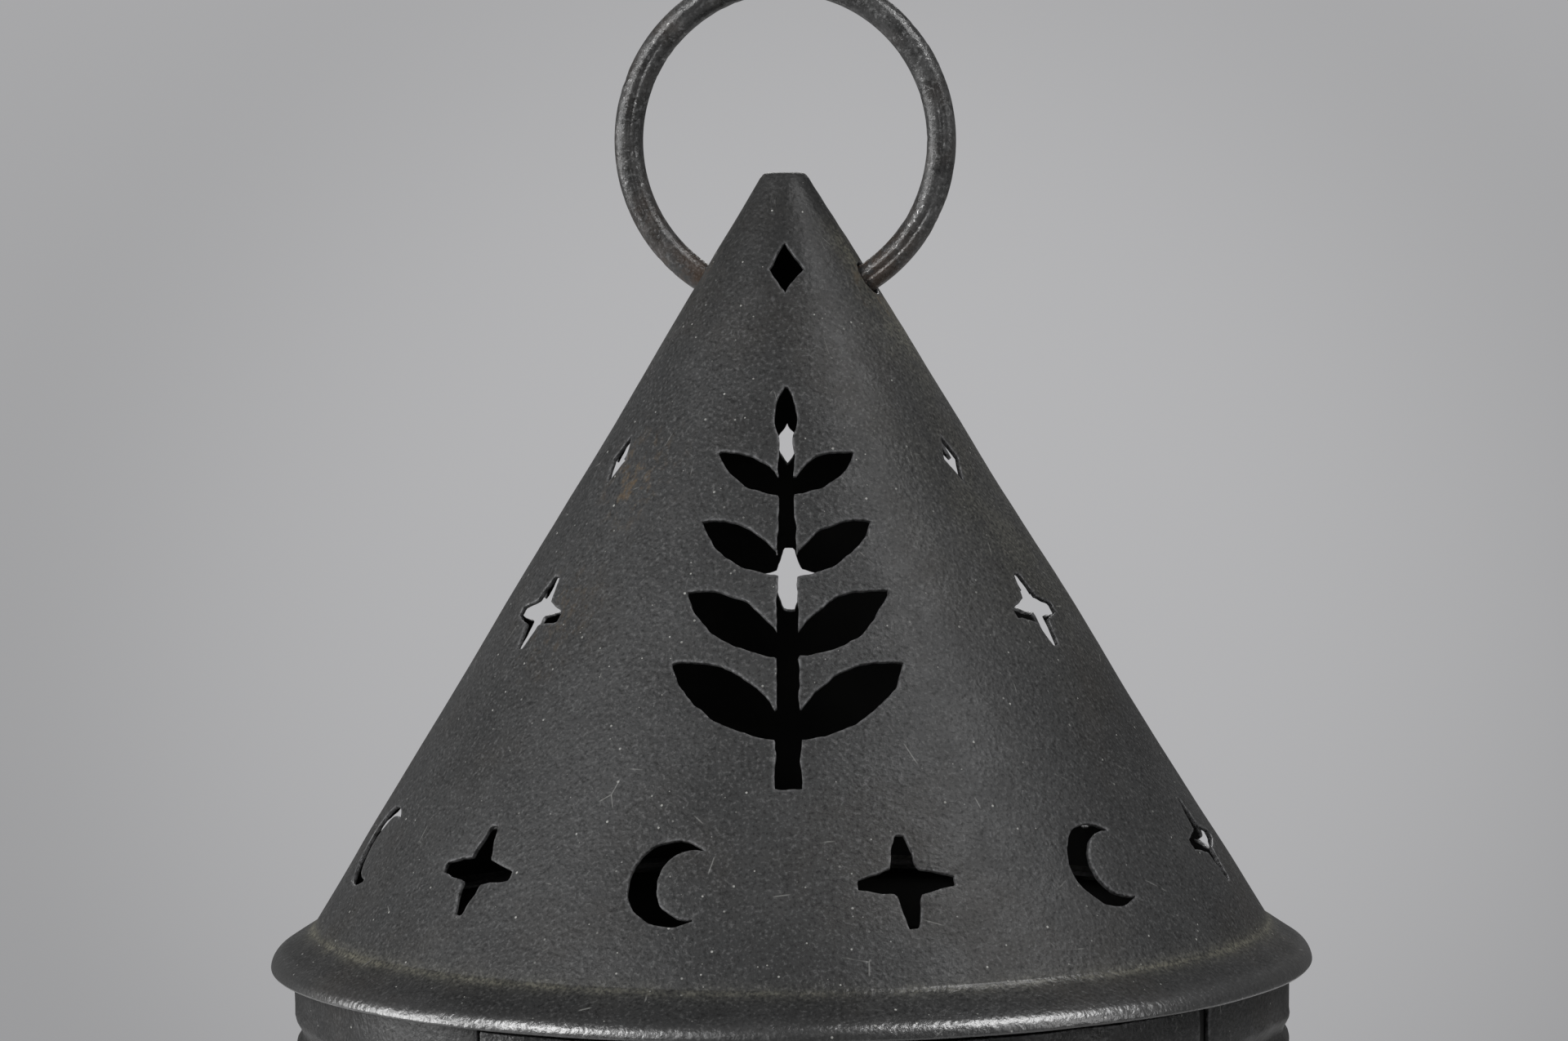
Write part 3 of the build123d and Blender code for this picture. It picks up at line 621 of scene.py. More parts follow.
def roof_dents(points):
    """Dents of the roof, which stays true towards its foot and its tip."""
    slant = slants(points)
    free = np.clip((FOOT_SLANT - 2 * FILLET - slant) / FOOT_FADE, 0, 1)
    free *= np.clip((slant - TIP_SLANT) / TIP_FADE, 0, 1)
    return free * (waves(points, *ROOF_WAVES) + bumps(points, ROOF_BUMPS))


def corner_dust(points, away):
    """Dust that lies in the corner of roof and bead, thicker at the sides."""
    thick = 0.5 + 0.9 * np.sin(azimuths(points)) ** 2
    return np.clip(thick * np.exp(-away / DUST_REACH), 0, 1)


def roof_dust_and_pale_places(points):
    """Dust in the corner at the roof's foot, paler olive places on its right flank and at the tip's right
    edge, and dust on its back.
    """
    corner = corner_dust(points, np.clip(FOOT_SLANT - slants(points), 0, None))
    return corner + bumps(points, ROOF_PALE_PLACES)


def roof_rust(points):
    """Scraped rusty places high on the left and on the back, and where the ring goes in."""
    axis = JOINTS["ring_swing"]["axis"]
    hole = degrees(atan2(axis[0], -axis[1]))
    holes = [(azimuth, *RING_HOLE_RUST) for azimuth in (hole, hole + 180)]
    return bumps(points, [*ROOF_RUST, *holes])


def wall_dents(points):
    """Dents of the wall, which stays true where the roof's collar sits in it."""
    high = upper_part(points) * np.clip((ROUGH_TO - points[:, 2]) / ROUGH_FALL, 0, 1)
    dents = waves(points, *WALL_WAVES) + high * waves(points, WALL_ROUGH)
    return dents + bumps(points, WALL_BUMPS)


def door_dents(points):
    """Dents of the door, with a bent place in its upper edge."""
    dents = waves(points, *DOOR_WAVES) + upper_part(points) * waves(points, DOOR_ROUGH)
    return dents + bumps(points, DOOR_BUMPS)


def fan_arc(slant, turns):
    """Flat points of the roof's sheet at a distance from its apex."""
    return [(slant * sin(a), -slant * cos(a)) for a in turns]


def fan_outline():
    """Flat outline of the roof's sheet, from the seam round to the seam."""
    foot = fan_arc(FOOT_SLANT, np.linspace(-FAN_HALF, FAN_HALF, FAN_FOOT_POINTS))
    tip = fan_arc(TIP_SLANT, np.linspace(FAN_HALF, -FAN_HALF, FAN_TIP_POINTS))
    side = np.linspace(0, 1, FAN_SIDE_POINTS)[1:-1]
    right = [tuple(np.array(foot[-1]) * (1 - t) + np.array(tip[0]) * t) for t in side]
    left = [tuple(np.array(tip[-1]) * (1 - t) + np.array(foot[0]) * t) for t in side]
    return np.array(foot + right + tip + left)


def box_outline(left, right, low, high, step=GRID_STEP):
    """Rectangle with points along its sides."""
    return resampled(np.array([(left, low), (right, low), (right, high), (left, high)], float), step)


def cut_outs(node, surface, wobble=CUT_WOBBLE):
    """Hand-cut outlines of a node's cut-outs; holes that a rivet fills and the lap seam are left out."""
    found = []
    for loop in skin_loops(node, surface):
        on_seam = np.abs(wrapped(azimuths(loop) - radians(SEAM_AZIMUTH))).min() < SEAM_CLEAR
        if loop_length(loop) > SMALL_HOLE and not on_seam:
            found.append(hand_cut(surface.flat(loop), wobble))
    return found


def groove_rows(left, right):
    """Extra points that carry the groove's round section."""
    heights = GROOVE_HEIGHT + np.linspace(-GROOVE_HALF, GROOVE_HALF, GROOVE_ROWS)
    across = np.arange(left, right, GROOVE_STEP)
    return np.array([(x, y) for y in heights for x in across])


def foot_rows():
    """Extra points near the roof's foot, where the dust thins out within a few millimetres."""
    turns = np.linspace(-FAN_HALF, FAN_HALF, FAN_FOOT_POINTS)[1:-1]
    return np.vstack([fan_arc(FOOT_SLANT - step, turns) for step in FOOT_ROWS])


def lap_strip(low, high):
    """Flat outline of a lap seam's upper layer."""
    return box_outline(-SEAM_WIDTH / 2, SEAM_WIDTH / 2, low, high, CUT_STEP)


def tip_profile():
    """Section of the roof's closed tip, over its round edge to the middle."""
    start = (TIP_SLANT * sin(CONE_ANGLE), APEX_HEIGHT - TIP_SLANT * cos(CONE_ANGLE))
    centre = (TIP_RADIUS - TIP_FILLET * 0.62, TIP_HEIGHT - TIP_FILLET)
    crown = arc(centre, TIP_FILLET, CONE_ANGLE, pi / 2, 6)
    return [start] + crown + [(centre[0] * 0.5, TIP_HEIGHT), (0.02, TIP_HEIGHT)]


def dress_roof(tin, soot_and_shade):
    """Roof: rolled sheet with cut-outs, closed tip and lap seam."""
    patch = Patch()
    sheet = ConeSheet(SEAM_AZIMUTH + 180)
    cuts = cut_outs("roof_cone", sheet)
    add_sheet(patch, sheet, fan_outline(), cuts, roof_dents, roof_dust_and_pale_places, extra=foot_rows(), rust=roof_rust)
    add_lathe(patch, tip_profile(), TIP_SEGMENTS, unmoved, closed=False)
    lap = ConeSheet(SEAM_AZIMUTH)
    strip = lap_strip(-FOOT_SLANT + SEAM_END_GAP, -TIP_SLANT - ROOF_SEAM_TOP)
    add_sheet(patch, lap, strip, [], roof_dents, roof_dust_and_pale_places, CUT_BEVEL, base=TIN)
    made = patch.made("roof_sheet", [tin, soot_and_shade], "lantern")
    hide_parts("roof_cone")


def dress_body(tin, soot_and_shade):
    """Body: rolled sheet with the groove, the door's opening, cut-outs and lap seam."""
    patch = Patch()
    sheet = WallSheet(SEAM_AZIMUTH + 180)
    half = pi * BODY_RADIUS
    outline = box_outline(-half, half, 0.0, WALL_TOP)
    cuts = cut_outs("body_shell", sheet, NEAT_WOBBLE)
    add_sheet(patch, sheet, outline, cuts, wall_dents, nothing, extra=groove_rows(-half, half))
    lap = WallSheet(SEAM_AZIMUTH)
    strip = lap_strip(BASE_RIM_TOP + SEAM_END_GAP, EAVE_EDGE - SEAM_END_GAP)
    rows = groove_rows(-SEAM_WIDTH / 2, SEAM_WIDTH / 2)
    add_sheet(patch, lap, strip, [], wall_dents, nothing, CUT_BEVEL, rows, TIN)
    made = patch.made("body_sheet", [tin, soot_and_shade], "lantern")
    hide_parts("body_shell")


def dress_door(tin, soot_and_shade):
    """Door: curved panel with round edges and cut-outs."""
    patch = Patch()
    sheet = WallSheet(0.0)
    loops = sorted(cut_outs("door_panel", sheet, NEAT_WOBBLE), key=lambda loop: -abs(signed_area(loop)))
    outline, cuts = loops[0], loops[1:]
    rows = groove_rows(outline[:, 0].min(), outline[:, 0].max())
    add_sheet(patch, sheet, outline, cuts, door_dents, nothing, CUT_BEVEL, rows)
    made = patch.made("door_sheet", [tin, soot_and_shade], "door")
    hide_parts("door_panel")


def bead_arcs(start, top):
    """Slope of a bead, and the centre and the first angle of its round nose."""
    run = RIM_RADIUS - NOSE * (1 - sin(RIM_SLOPE)) - start
    foot = (start + run, top - run * tan(RIM_SLOPE))
    slope = [(start + run * t, top - run * t * tan(RIM_SLOPE)) for t in (0, 0.33, 0.66)]
    return slope, (RIM_RADIUS - NOSE, foot[1] - NOSE * cos(RIM_SLOPE)), pi / 2 - RIM_SLOPE


def eave_profile():
    """Section of the eave's bead: slope, round nose, round drip edge and the inner face back up."""
    slope, centre, shoulder = bead_arcs(ROOF_FOOT, EAVE_HEIGHT)
    middle = NOSE - TIN / 2
    last = asin(TIN / 2 / middle)
    edge = (centre[0] + middle * cos(last), centre[1] + middle * sin(last))
    outer = arc(centre, NOSE, shoulder, last, 14) + arc(edge, TIN / 2, last, last - pi, 10)[1:]
    inner = arc(centre, NOSE - TIN, last, shoulder, 9)[1:]
    return slope + outer + inner


def foot_profile():
    """Section of the foot's bead: slope, round nose, lip back to the wall and the inner face."""
    slope, centre, shoulder = bead_arcs(RIM_SEAT, BASE_RIM_TOP)
    lip = (RIM_RADIUS - LIP, centre[1])
    outer = arc(centre, NOSE, shoulder, 0, 9) + arc(lip, LIP, 0, -pi / 2, 9)[1:]
    inner = arc(lip, LIP - TIN, -pi / 2, 0, 5) + arc(centre, NOSE - TIN, 0, shoulder, 7)[1:]
    seat = [(RIM_SEAT + 0.1, 0.0), (RIM_SEAT, 0.1), (RIM_SEAT, TIN)]
    return slope + outer + seat + inner + [(RIM_SEAT, BASE_RIM_TOP - TIN / cos(RIM_SLOPE))]


def lip_wear_and_highlight(points, lip_height, patches):
    """Worn metal along a bead's edge: strong at some azimuths, uneven all round. On the eave's front left,
    the strong stretches are a painted highlight.
    """
    below = np.exp(-(((points[:, 2] - lip_height) / WEAR_HEIGHT) ** 2))
    below *= radii(points) > BODY_RADIUS + WEAR_OFF_WALL
    turn = azimuths(points)
    strength = waves(points, LIP_WAVES)
    for azimuth, width, share in patches:
        strength += share * np.exp(-((wrapped(turn - radians(azimuth)) / radians(width)) ** 2))
    return below * np.clip(strength, 0, 1)


def corner_fillet():
    """Round corner of dust and paint between roof and bead, from the roof down to the bead's slope."""
    sink_in, sink_down = 0.05, 0.03
    upper_radius = ROOF_FOOT - FILLET * sin(CONE_ANGLE) - sink_in
    upper_height = EAVE_HEIGHT + FILLET * cos(CONE_ANGLE) - sink_down
    upper = Vector((upper_radius, upper_height))
    lower = Vector((ROOF_FOOT + FILLET * cos(RIM_SLOPE), EAVE_HEIGHT - FILLET * sin(RIM_SLOPE)))
    corner = Vector((ROOF_FOOT, EAVE_HEIGHT))
    shares = np.linspace(0, 1, 9)
    return [tuple(upper * (1 - t) ** 2 + corner * 2 * t * (1 - t) + lower * t**2) for t in shares]


def eave_flange():
    """Section of the eave's flange, which lies under the roof's foot."""
    below_roof = EAVE_HEIGHT - 0.05
    inner_edge = ROOF_FOOT - RIM_FLANGE
    return [
        (ROOF_FOOT, EAVE_HEIGHT - TIN),
        (inner_edge, EAVE_HEIGHT - TIN),
        (inner_edge, below_roof),
        (ROOF_FOOT - 2.0, below_roof),
    ]


def uneven(points):
    """How far a bead's points grow and rise; it stays true where it sits on the wall."""
    steady = radii(points) < BODY_RADIUS + BEAD_OFF_WALL
    grow = np.where(steady, 0.0, np.minimum(-BEAD_SHRINK, waves(points, BEAD_GROWTH)))
    rise = np.where(steady, 0.0, waves(points, BEAD_RISE))
    return grow, rise


def grounded(points):
    """The same for the foot's bead, which stands flat on the ground."""
    grow, rise = uneven(points)
    return grow, np.where(points[:, 2] < BEAD_OFF_GROUND, 0.0, rise)


def bead_dust(points):
    """Dust on the eave's bead, in its corner with the roof."""
    radius = radii(points)
    return corner_dust(points, np.hypot(radius - ROOF_FOOT, points[:, 2] - EAVE_HEIGHT))


# Wear along the eave's edge, with a painted highlight on the nose at the front left
def eave_wear_and_highlight(points):
    return lip_wear_and_highlight(points, EAVE_EDGE, EAVE_WEAR_AND_HIGHLIGHT)


def foot_wear(points):
    return lip_wear_and_highlight(points, LIP, FOOT_WEAR)


def dress_beads(tin):
    """Beads at the eave and the foot, a little uneven, with worn lips; on the eave's lip the wear also
    paints the nose's highlight.
    """
    patch = Patch()
    section = corner_fillet() + eave_profile()[1:] + eave_flange()
    add_lathe(patch, section, BEAD_SEGMENTS, uneven, eave_wear_and_highlight, bead_dust)
    made = patch.made("eave_bead", [tin], "lantern")
    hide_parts("roof_rim")

    patch = Patch()
    add_lathe(patch, foot_profile(), BEAD_SEGMENTS, grounded, foot_wear)
    made = patch.made("foot_bead", [tin], "lantern")
    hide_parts("base_rim")


def hammered(spot):
    """How far hammer marks sink into the ring's bar at a place; never above its round."""
    marks = 0.16 * noise.noise(spot / 6.5) + 0.12 * noise.noise(spot / 2.0) + 0.07 * noise.noise(spot * 1.1)
    return min(0.0, marks + 0.03)


def creased(bend, section):
    """Depth of the forging crease along the ring's front, which wanders, fades and has raised shoulders."""
    crease_at = pi * 1.5 + 0.28 * sin(bend) + 0.12 * noise.noise(Vector((bend * 2.0, 3.0, 1.0)))
    strength = max(0.0, min(1.0, 0.75 + noise.noise(Vector((bend * 1.7, 8.0, 2.0)))))
    off = wrapped(section - crease_at)
    line = np.exp(-((off / CREASE_WIDTH) ** 2))
    shoulder = np.exp(-((off / SHOULDER_WIDTH) ** 2))
    return CREASE_DEPTH * strength * line - SHOULDER_RISE * strength * shoulder


def dress_ring(iron):
    """Carrying ring: hammered round bar with a forging crease, headed inside the roof."""
    axis = Vector(JOINTS["ring_swing"]["axis"])
    height = RING_TOP - RING_RADIUS - RING_BAR / 2
    front = Vector((0, 0, 1)).cross(axis)
    head_room = RING_BAR / 2 + RING_HEAD_LIP
    end = np.arccos(np.clip((height - RING_END - head_room * 0.8) / RING_RADIUS, -1, 1))
    bends = np.linspace(end, 2 * pi - end, RING_POINTS)
    sections = np.linspace(0, 2 * pi, RING_AROUND, endpoint=False)
    points = []
    rust = []
    worn = []
    for index, bend in enumerate(bends):
        away = axis * sin(bend) + Vector((0, 0, -cos(bend)))
        centre = Vector((0, 0, height)) + away * RING_RADIUS
        tail = min(index, RING_POINTS - 1 - index) / RING_POINTS * (2 * pi - 2 * end) * RING_RADIUS
        lip = RING_HEAD_LIP if tail < RING_HEAD_LENGTH else 0.0
        for section in sections:
            side = away * cos(section) + front * sin(section)
            spot = centre + side * RING_BAR / 2
            points.append(centre + side * (RING_BAR / 2 + hammered(spot) - creased(bend, section) + lip))
            rust.append(1.6 * np.exp(-tail / RING_RUST_REACH) + 0.2 * noise.noise(spot / 7.0))
            worn.append(max(0.0, 0.5 + 0.8 * noise.noise(spot / 3.0 + Vector((9, 1, 4)))))
    quads = []
    for i in range(RING_POINTS - 1):
        here = i * RING_AROUND
        ahead = here + RING_AROUND
        for k in range(RING_AROUND):
            up = (k + 1) % RING_AROUND
            quads.append((here + k, here + up, ahead + up, ahead + k))
    first_end = tuple(range(RING_AROUND))
    last_end = tuple(range((RING_POINTS - 1) * RING_AROUND, RING_POINTS * RING_AROUND))
    faces = quads + [first_end, last_end]
    made = new_object("forged_ring", points, faces, [iron], "ring", worn=worn, rust=np.clip(rust, 0, 1))
    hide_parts("carrying_ring")


# Materials


def add_node(tree, kind, inputs=None, **settings):
    """Adds a node with its settings; an input is linked to a socket or set to a value."""
    made = tree.nodes.new(kind)
    for key, value in settings.items():
        setattr(made, key, value)
    for key, value in (inputs or {}).items():
        if isinstance(value, bpy.types.NodeSocket):
            tree.links.new(value, made.inputs[key])
        else:
            made.inputs[key].default_value = value
    return made


class Shader:
    """Material under construction. Its textures lie in object space, in millimetres."""

    def __init__(self, name):
        self.material = bpy.data.materials.new(name)
        self.material.use_nodes = True
        self.tree = self.material.node_tree
        self.tree.nodes.clear()
        coords = self.add("ShaderNodeTexCoord")
        inputs = {0: coords.outputs["Object"], "Scale": 1 / MM}
        self.place = self.add("ShaderNodeVectorMath", inputs, operation="SCALE").outputs[0]

    def add(self, kind, inputs=None, **settings):
        return add_node(self.tree, kind, inputs, **settings)

    def noise(self, wavelength, detail, roughness, shift=0.0, stretch=(1, 1, 1)):
        """Cloudy texture from about 0 to 1; shift moves it so that two of them differ."""
        mapping = {"Vector": self.place, "Location": (shift, -shift, shift), "Scale": stretch}
        place = self.add("ShaderNodeMapping", mapping).outputs[0]
        cloud = {"Vector": place, "Scale": 1 / wavelength, "Detail": detail, "Roughness": roughness}
        return self.add("ShaderNodeTexNoise", cloud).outputs["Fac"]

    def unrolled(self, radius):
        """Coordinates along a surface turned about the axis: around at this radius, and up."""
        parts = self.add("ShaderNodeSeparateXYZ", {0: self.place}).outputs
        around = self.math("ARCTAN2", parts["X"], self.times(parts["Y"], -1.0))
        around = self.times(around, radius)
        return self.add("ShaderNodeCombineXYZ", {"X": around, "Y": parts["Z"]}).outputs[0]

    def ranged(self, value, low, high, to_low=0.0, to_high=1.0):
        """Value brought from one range to another, with soft ends."""
        inputs = {"Value": value, "From Min": low, "From Max": high, "To Min": to_low, "To Max": to_high}
        return self.add("ShaderNodeMapRange", inputs, interpolation_type="SMOOTHSTEP").outputs[0]

    def math(self, operation, first, second):
        return self.add("ShaderNodeMath", {0: first, 1: second}, operation=operation).outputs[0]

    def times(self, first, second):
        return self.math("MULTIPLY", first, second)

    def mix(self, share, first, second):
        """Colour between two."""
        return self.add("ShaderNodeMix", {0: share, 6: first, 7: second}, data_type="RGBA").outputs[2]

    def blend(self, share, first, second):
        """Number between two."""
        return self.add("ShaderNodeMix", {0: share, 2: first, 3: second}, data_type="FLOAT").outputs[0]

    def weight(self, name):
        """Weight that the mesh carries at its points."""
        return self.add("ShaderNodeAttribute", attribute_name=name).outputs["Fac"]

    def bump(self, height, distance, strength, below=None):
        """Normal of a bumpy skin, its distance in millimetres, over the bumps below it."""
        inputs = {"Height": height, "Distance": distance * MM, "Strength": strength}
        if below is not None:
            inputs["Normal"] = below
        return self.add("ShaderNodeBump", inputs).outputs[0]

    def surface(self, shader):
        self.add("ShaderNodeOutputMaterial", {"Surface": shader.outputs[0]})
        return self.material

    def finish(self, base, satin, normal, metal=0.0, **more):
        inputs = {"Base Color": base, "Roughness": satin, "Normal": normal, "Metallic": metal}
        return self.surface(self.add("ShaderNodeBsdfPrincipled", inputs | more))


def grey(value, warm=0.0):
    """Neutral colour, a little warm or cool."""
    return (value * (1 + warm), value, value * (1 - warm), 1.0)


RUST = (0.1, 0.053, 0.026, 1.0)
UMBER = (0.036, 0.029, 0.022, 1.0)
GILT = (0.16, 0.105, 0.05, 1.0)
DUST = (0.2, 0.192, 0.148, 1.0)
SPECK = (0.4, 0.4, 0.38, 1.0)
# Bare metal of worn places; on the eave's nose it is a painted highlight
BARE_AND_HIGHLIGHT = (0.4, 0.4, 0.41, 1.0)
POLISHED_GLOSS = 0.29
POLISHED_SHINE = 1.0
RUBBED_GLOSS = 0.34
WAX_GLOSS = 0.37
WAX_IOR = 1.5
SPECK_CELL = 1.7
SPECK_SHARE = 0.5
HAIR_CELL = 15
HAIR_WIDTH = 0.006
UNROLLED_RADIUS = 60


def film(s, dark, light, cloud, blotch, grain):
    """Colour of the blackened film: cloudy grey with umber stains, lighter blotches and a fine grain."""
    base = s.mix(s.ranged(cloud, 0.35, 0.65), grey(dark, -0.01), grey(light, -0.01))
    stain = s.ranged(s.noise(30, 5, 0.62, 90), 0.47, 0.68)
    stain = s.times(stain, s.ranged(blotch, 0.25, 0.7, 0.4, 1.0))
    base = s.mix(s.times(stain, 0.3), base, UMBER)
    base = s.mix(s.ranged(blotch, 0.52, 0.72, 0, 0.3), base, grey(light * 1.35))
    base = s.mix(s.ranged(grain, 0.54, 0.7, 0, 0.7), base, grey(light * 2.4))
    return s.mix(s.ranged(grain, 0.46, 0.32, 0, 0.8), base, grey(dark * 0.4))


def speckled(s, base):
    """Adds pale specks of dust, some cells of a mosaic holding one, and thin pale hairlines."""
    cells = s.add("ShaderNodeTexVoronoi", {"Vector": s.place, "Scale": 1 / SPECK_CELL})
    tone = s.add("ShaderNodeSeparateColor", {0: cells.outputs["Color"]})
    chosen = s.ranged(tone.outputs[0], 1 - SPECK_SHARE, 1 - SPECK_SHARE + 0.02)
    size = s.ranged(tone.outputs[1], 0.3, 1.0, 0.05, 0.13)
    spot = s.times(s.math("LESS_THAN", cells.outputs["Distance"], size), chosen)
    base = s.mix(s.times(spot, s.ranged(tone.outputs[2], 0, 1, 0.25, 0.9)), base, SPECK)
    mosaic = {"Vector": s.unrolled(UNROLLED_RADIUS), "Scale": 1 / HAIR_CELL}
    lines = s.add("ShaderNodeTexVoronoi", mosaic, feature="DISTANCE_TO_EDGE", voronoi_dimensions="2D")
    hair = s.math("LESS_THAN", lines.outputs["Distance"], HAIR_WIDTH)
    hair = s.times(hair, s.ranged(s.noise(6, 2, 0.5, 77), 0.6, 0.68, 0, 0.3))
    return s.mix(hair, base, SPECK)


def blackened(name, dark, light, gloss, pebble, shine, smoked=None, polished=None):
    """Blackened sheet: cloudy film with an orange-peel skin, dust specks, stains, worn edges and lips; the
    worn eave lip also carries a painted highlight.

    smoked gives the heights between which soot sets in, polished the radii between which handling has
    smoothed and waxed it.
    """
    s = Shader(name)
    cloud = s.noise(38, 5, 0.6)
    blotch = s.noise(7, 4, 0.6, 40)
    grain = s.noise(0.6, 2, 0.6, 15)
    peel = s.noise(1.3, 1, 0.5, 25)
    base = film(s, dark, light, cloud, blotch, grain)
    if smoked:
        height = s.add("ShaderNodeSeparateXYZ", {0: s.place}).outputs["Z"]
        base = s.mix(s.ranged(height, *smoked, 0, 0.45), base, grey(dark * 0.4))
    rust = s.times(s.weight("rust"), s.ranged(s.noise(2.2, 5, 0.75, 61, (1, 1, 0.4)), 0.5, 0.68))
    base = s.mix(s.times(rust, 0.6), base, GILT)
    base = speckled(s, base)
    dusty = s.times(s.weight("dust"), s.ranged(s.noise(9, 5, 0.7, 33), 0.33, 0.62, 0.25, 1.0))
    dusty = s.times(dusty, s.ranged(grain, 0.38, 0.62, 0.25, 1.0))
    base = s.mix(s.times(dusty, 0.75), base, DUST)
    # Bare metal where the mesh is worn; on the eave's nose this is a painted highlight
    rubbed_and_highlight = s.times(s.weight("worn"), s.ranged(s.noise(0.9, 4, 0.7, 55), 0.36, 0.62))
    base = s.mix(s.times(rubbed_and_highlight, 0.7), base, BARE_AND_HIGHLIGHT)
    satin = s.ranged(blotch, 0.3, 0.7, gloss - 0.05, gloss + 0.06)
    wax = 0.0
    if polished:
        level = {0: s.place, 1: (1, 1, 0)}
        flat_place = s.add("ShaderNodeVectorMath", level, operation="MULTIPLY").outputs[0]
        radius = s.add("ShaderNodeVectorMath", {0: flat_place}, operation="LENGTH").outputs["Value"]
        wax = s.ranged(radius, *polished)
        satin = s.blend(wax, satin, POLISHED_GLOSS)
        shine = s.blend(wax, shine, POLISHED_SHINE)
    pebbles = s.bump(peel, 0.22, pebble)
    fine = s.bump(grain, 0.14, pebble, pebbles)
    metal = s.times(rubbed_and_highlight, 0.85)
    satin = s.blend(rubbed_and_highlight, satin, RUBBED_GLOSS)
    coat = {"Coat Weight": wax, "Coat Roughness": WAX_GLOSS, "Coat IOR": WAX_IOR, "Coat Normal": fine}
    return s.finish(base, satin, fine, metal, **coat, **{"Specular IOR Level": shine})


def forged(name):
    """Forged iron: dark scale with fine hammer marks, bright where rubbed, rusty towards its ends."""
    s = Shader(name)
    scale = s.noise(3.2, 4, 0.6)
    grain = s.noise(0.6, 3, 0.65, 12)
    marks = s.noise(0.8, 3, 0.65, 35)
    base = s.mix(s.ranged(scale, 0.35, 0.65), grey(0.034), grey(0.064))
    base = s.mix(s.ranged(grain, 0.45, 0.3, 0, 0.7), base, grey(0.006))
    rubbed_and_highlight = s.times(s.weight("worn"), s.ranged(marks, 0.52, 0.66))
    base = s.mix(s.times(rubbed_and_highlight, 0.7), base, grey(0.38))
    rust = s.times(s.weight("rust"), s.ranged(s.noise(3.2, 5, 0.7, 61), 0.34, 0.56))
    base = s.mix(s.times(rust, 0.8), base, RUST)
    metal = s.times(rubbed_and_highlight, 0.8)
    satin = s.blend(rubbed_and_highlight, s.ranged(scale, 0.3, 0.7, 0.25, 0.37), 0.23)
    skin = s.bump(scale, 0.35, 0.3)
    struck = s.bump(marks, 0.3, 0.5, skin)
    fine = s.bump(grain, 0.14, 0.4, struck)
    return s.finish(base, satin, fine, metal)


def make_soot_and_shade(name):
    """Soot inside the lantern; on the roof's collar and the door's stop it is painted shade that makes the
    door's gaps black.
    """
    s = Shader(name)
    cloud = s.noise(14, 5, 0.65)
    base = s.mix(s.ranged(cloud, 0.35, 0.7), grey(0.004), grey(0.01, 0.05))
    matte = s.ranged(cloud, 0.3, 0.7, 0.8, 0.95)
    fine = s.bump(s.noise(0.8, 3, 0.6, 9), 0.08, 0.4)
    return s.finish(base, matte, fine)


def tarnished(name):
    """Tin plate of the candle's pan and socket: grey, smoked and stained."""
    s = Shader(name)
    cloud = s.noise(11, 5, 0.62)
    stain = s.noise(4.0, 5, 0.7, 45)
    grain = s.noise(0.6, 2, 0.6, 18)
    base = s.mix(s.ranged(cloud, 0.35, 0.65), grey(0.055), grey(0.16, 0.02))
    base = s.mix(s.ranged(stain, 0.55, 0.75, 0, 0.6), base, grey(0.02))
    base = s.mix(s.ranged(s.noise(8, 6, 0.7, 80), 0.6, 0.75, 0, 0.4), base, RUST)
    metal = s.ranged(cloud, 0.35, 0.65, 0.2, 0.65)
    satin = s.ranged(stain, 0.35, 0.7, 0.4, 0.68)
    fine = s.bump(grain, 0.04, 0.4, s.bump(cloud, 0.3, 0.25))
    return s.finish(base, satin, fine, metal)


def fitting_iron(name):
    """Black iron of hinges, rivets, knob and button, rubbed on its high places."""
    s = Shader(name)
    cloud = s.noise(6, 4, 0.6)
    grain = s.noise(0.7, 3, 0.6, 22)
    rub = s.times(s.ranged(s.noise(3.0, 4, 0.65, 10), 0.5, 0.7), s.ranged(grain, 0.45, 0.65))
    base = s.mix(s.ranged(cloud, 0.35, 0.65), grey(0.02), grey(0.036))
    base = s.mix(s.times(rub, 0.45), base, grey(0.2))
    base = s.mix(s.ranged(s.noise(5, 6, 0.7, 52), 0.6, 0.76, 0, 0.5), base, RUST)
    metal = s.times(rub, 0.8)
    satin = s.blend(rub, s.ranged(cloud, 0.3, 0.7, 0.42, 0.6), RUBBED_GLOSS)
    fine = s.bump(grain, 0.07, 0.45, s.bump(cloud, 0.3, 0.3))
    return s.finish(base, satin, fine, metal)


def keep_nodes(iron, inner, soot_and_shade):
    """Gives the nodes that stay as solids their materials.

    Collar and stop show in the door's gaps and get the soot as painted shade, as black as the inside.
    """
    for name, node in frame["nodes"].items():
        slot = node.data.materials[0].name
        bright = inner if slot == "inner_tin" else iron
        node.data.materials[0] = soot_and_shade if name in ("roof_collar", "door_stop") else bright


# Stage, light and camera

# Camera: place in millimetres, focal length in pixels of an image of this width
CAMERA_PLACE = (3.18, -914.6, 372.63)
CAMERA_YAW = radians(-0.238)
CAMERA_PITCH = radians(3.923)
CAMERA_ROLL = radians(-0.523)
FOCAL_PIXELS = 6452.8
IMAGE_WIDTH = 1920
SENSOR = 36.0
NEAREST = 0.01

# Backdrop: brightness between two heights of the view's direction, and a round glow on it
BACKDROP_LOW = 0.328
BACKDROP_HIGH = 0.392
BACKDROP_FROM = -0.17
BACKDROP_TO = 0.04
BACKDROP_TINT = (0.995, 0.995, 1.015, 1)
GLOW = 0.101
GLOW_TOWARDS = (0.0083, 0.9943, -0.1061)
GLOW_REACH = radians(9.8)
AMBIENT = 0.09

# Floor: it is solid up to the near radius and gone at the far one, in metres
FLOOR_GREY = 0.45
FLOOR_NEAR = 0.7
FLOOR_FAR = 1.25
FLOOR_RINGS = 24
FLOOR_AROUND = 96

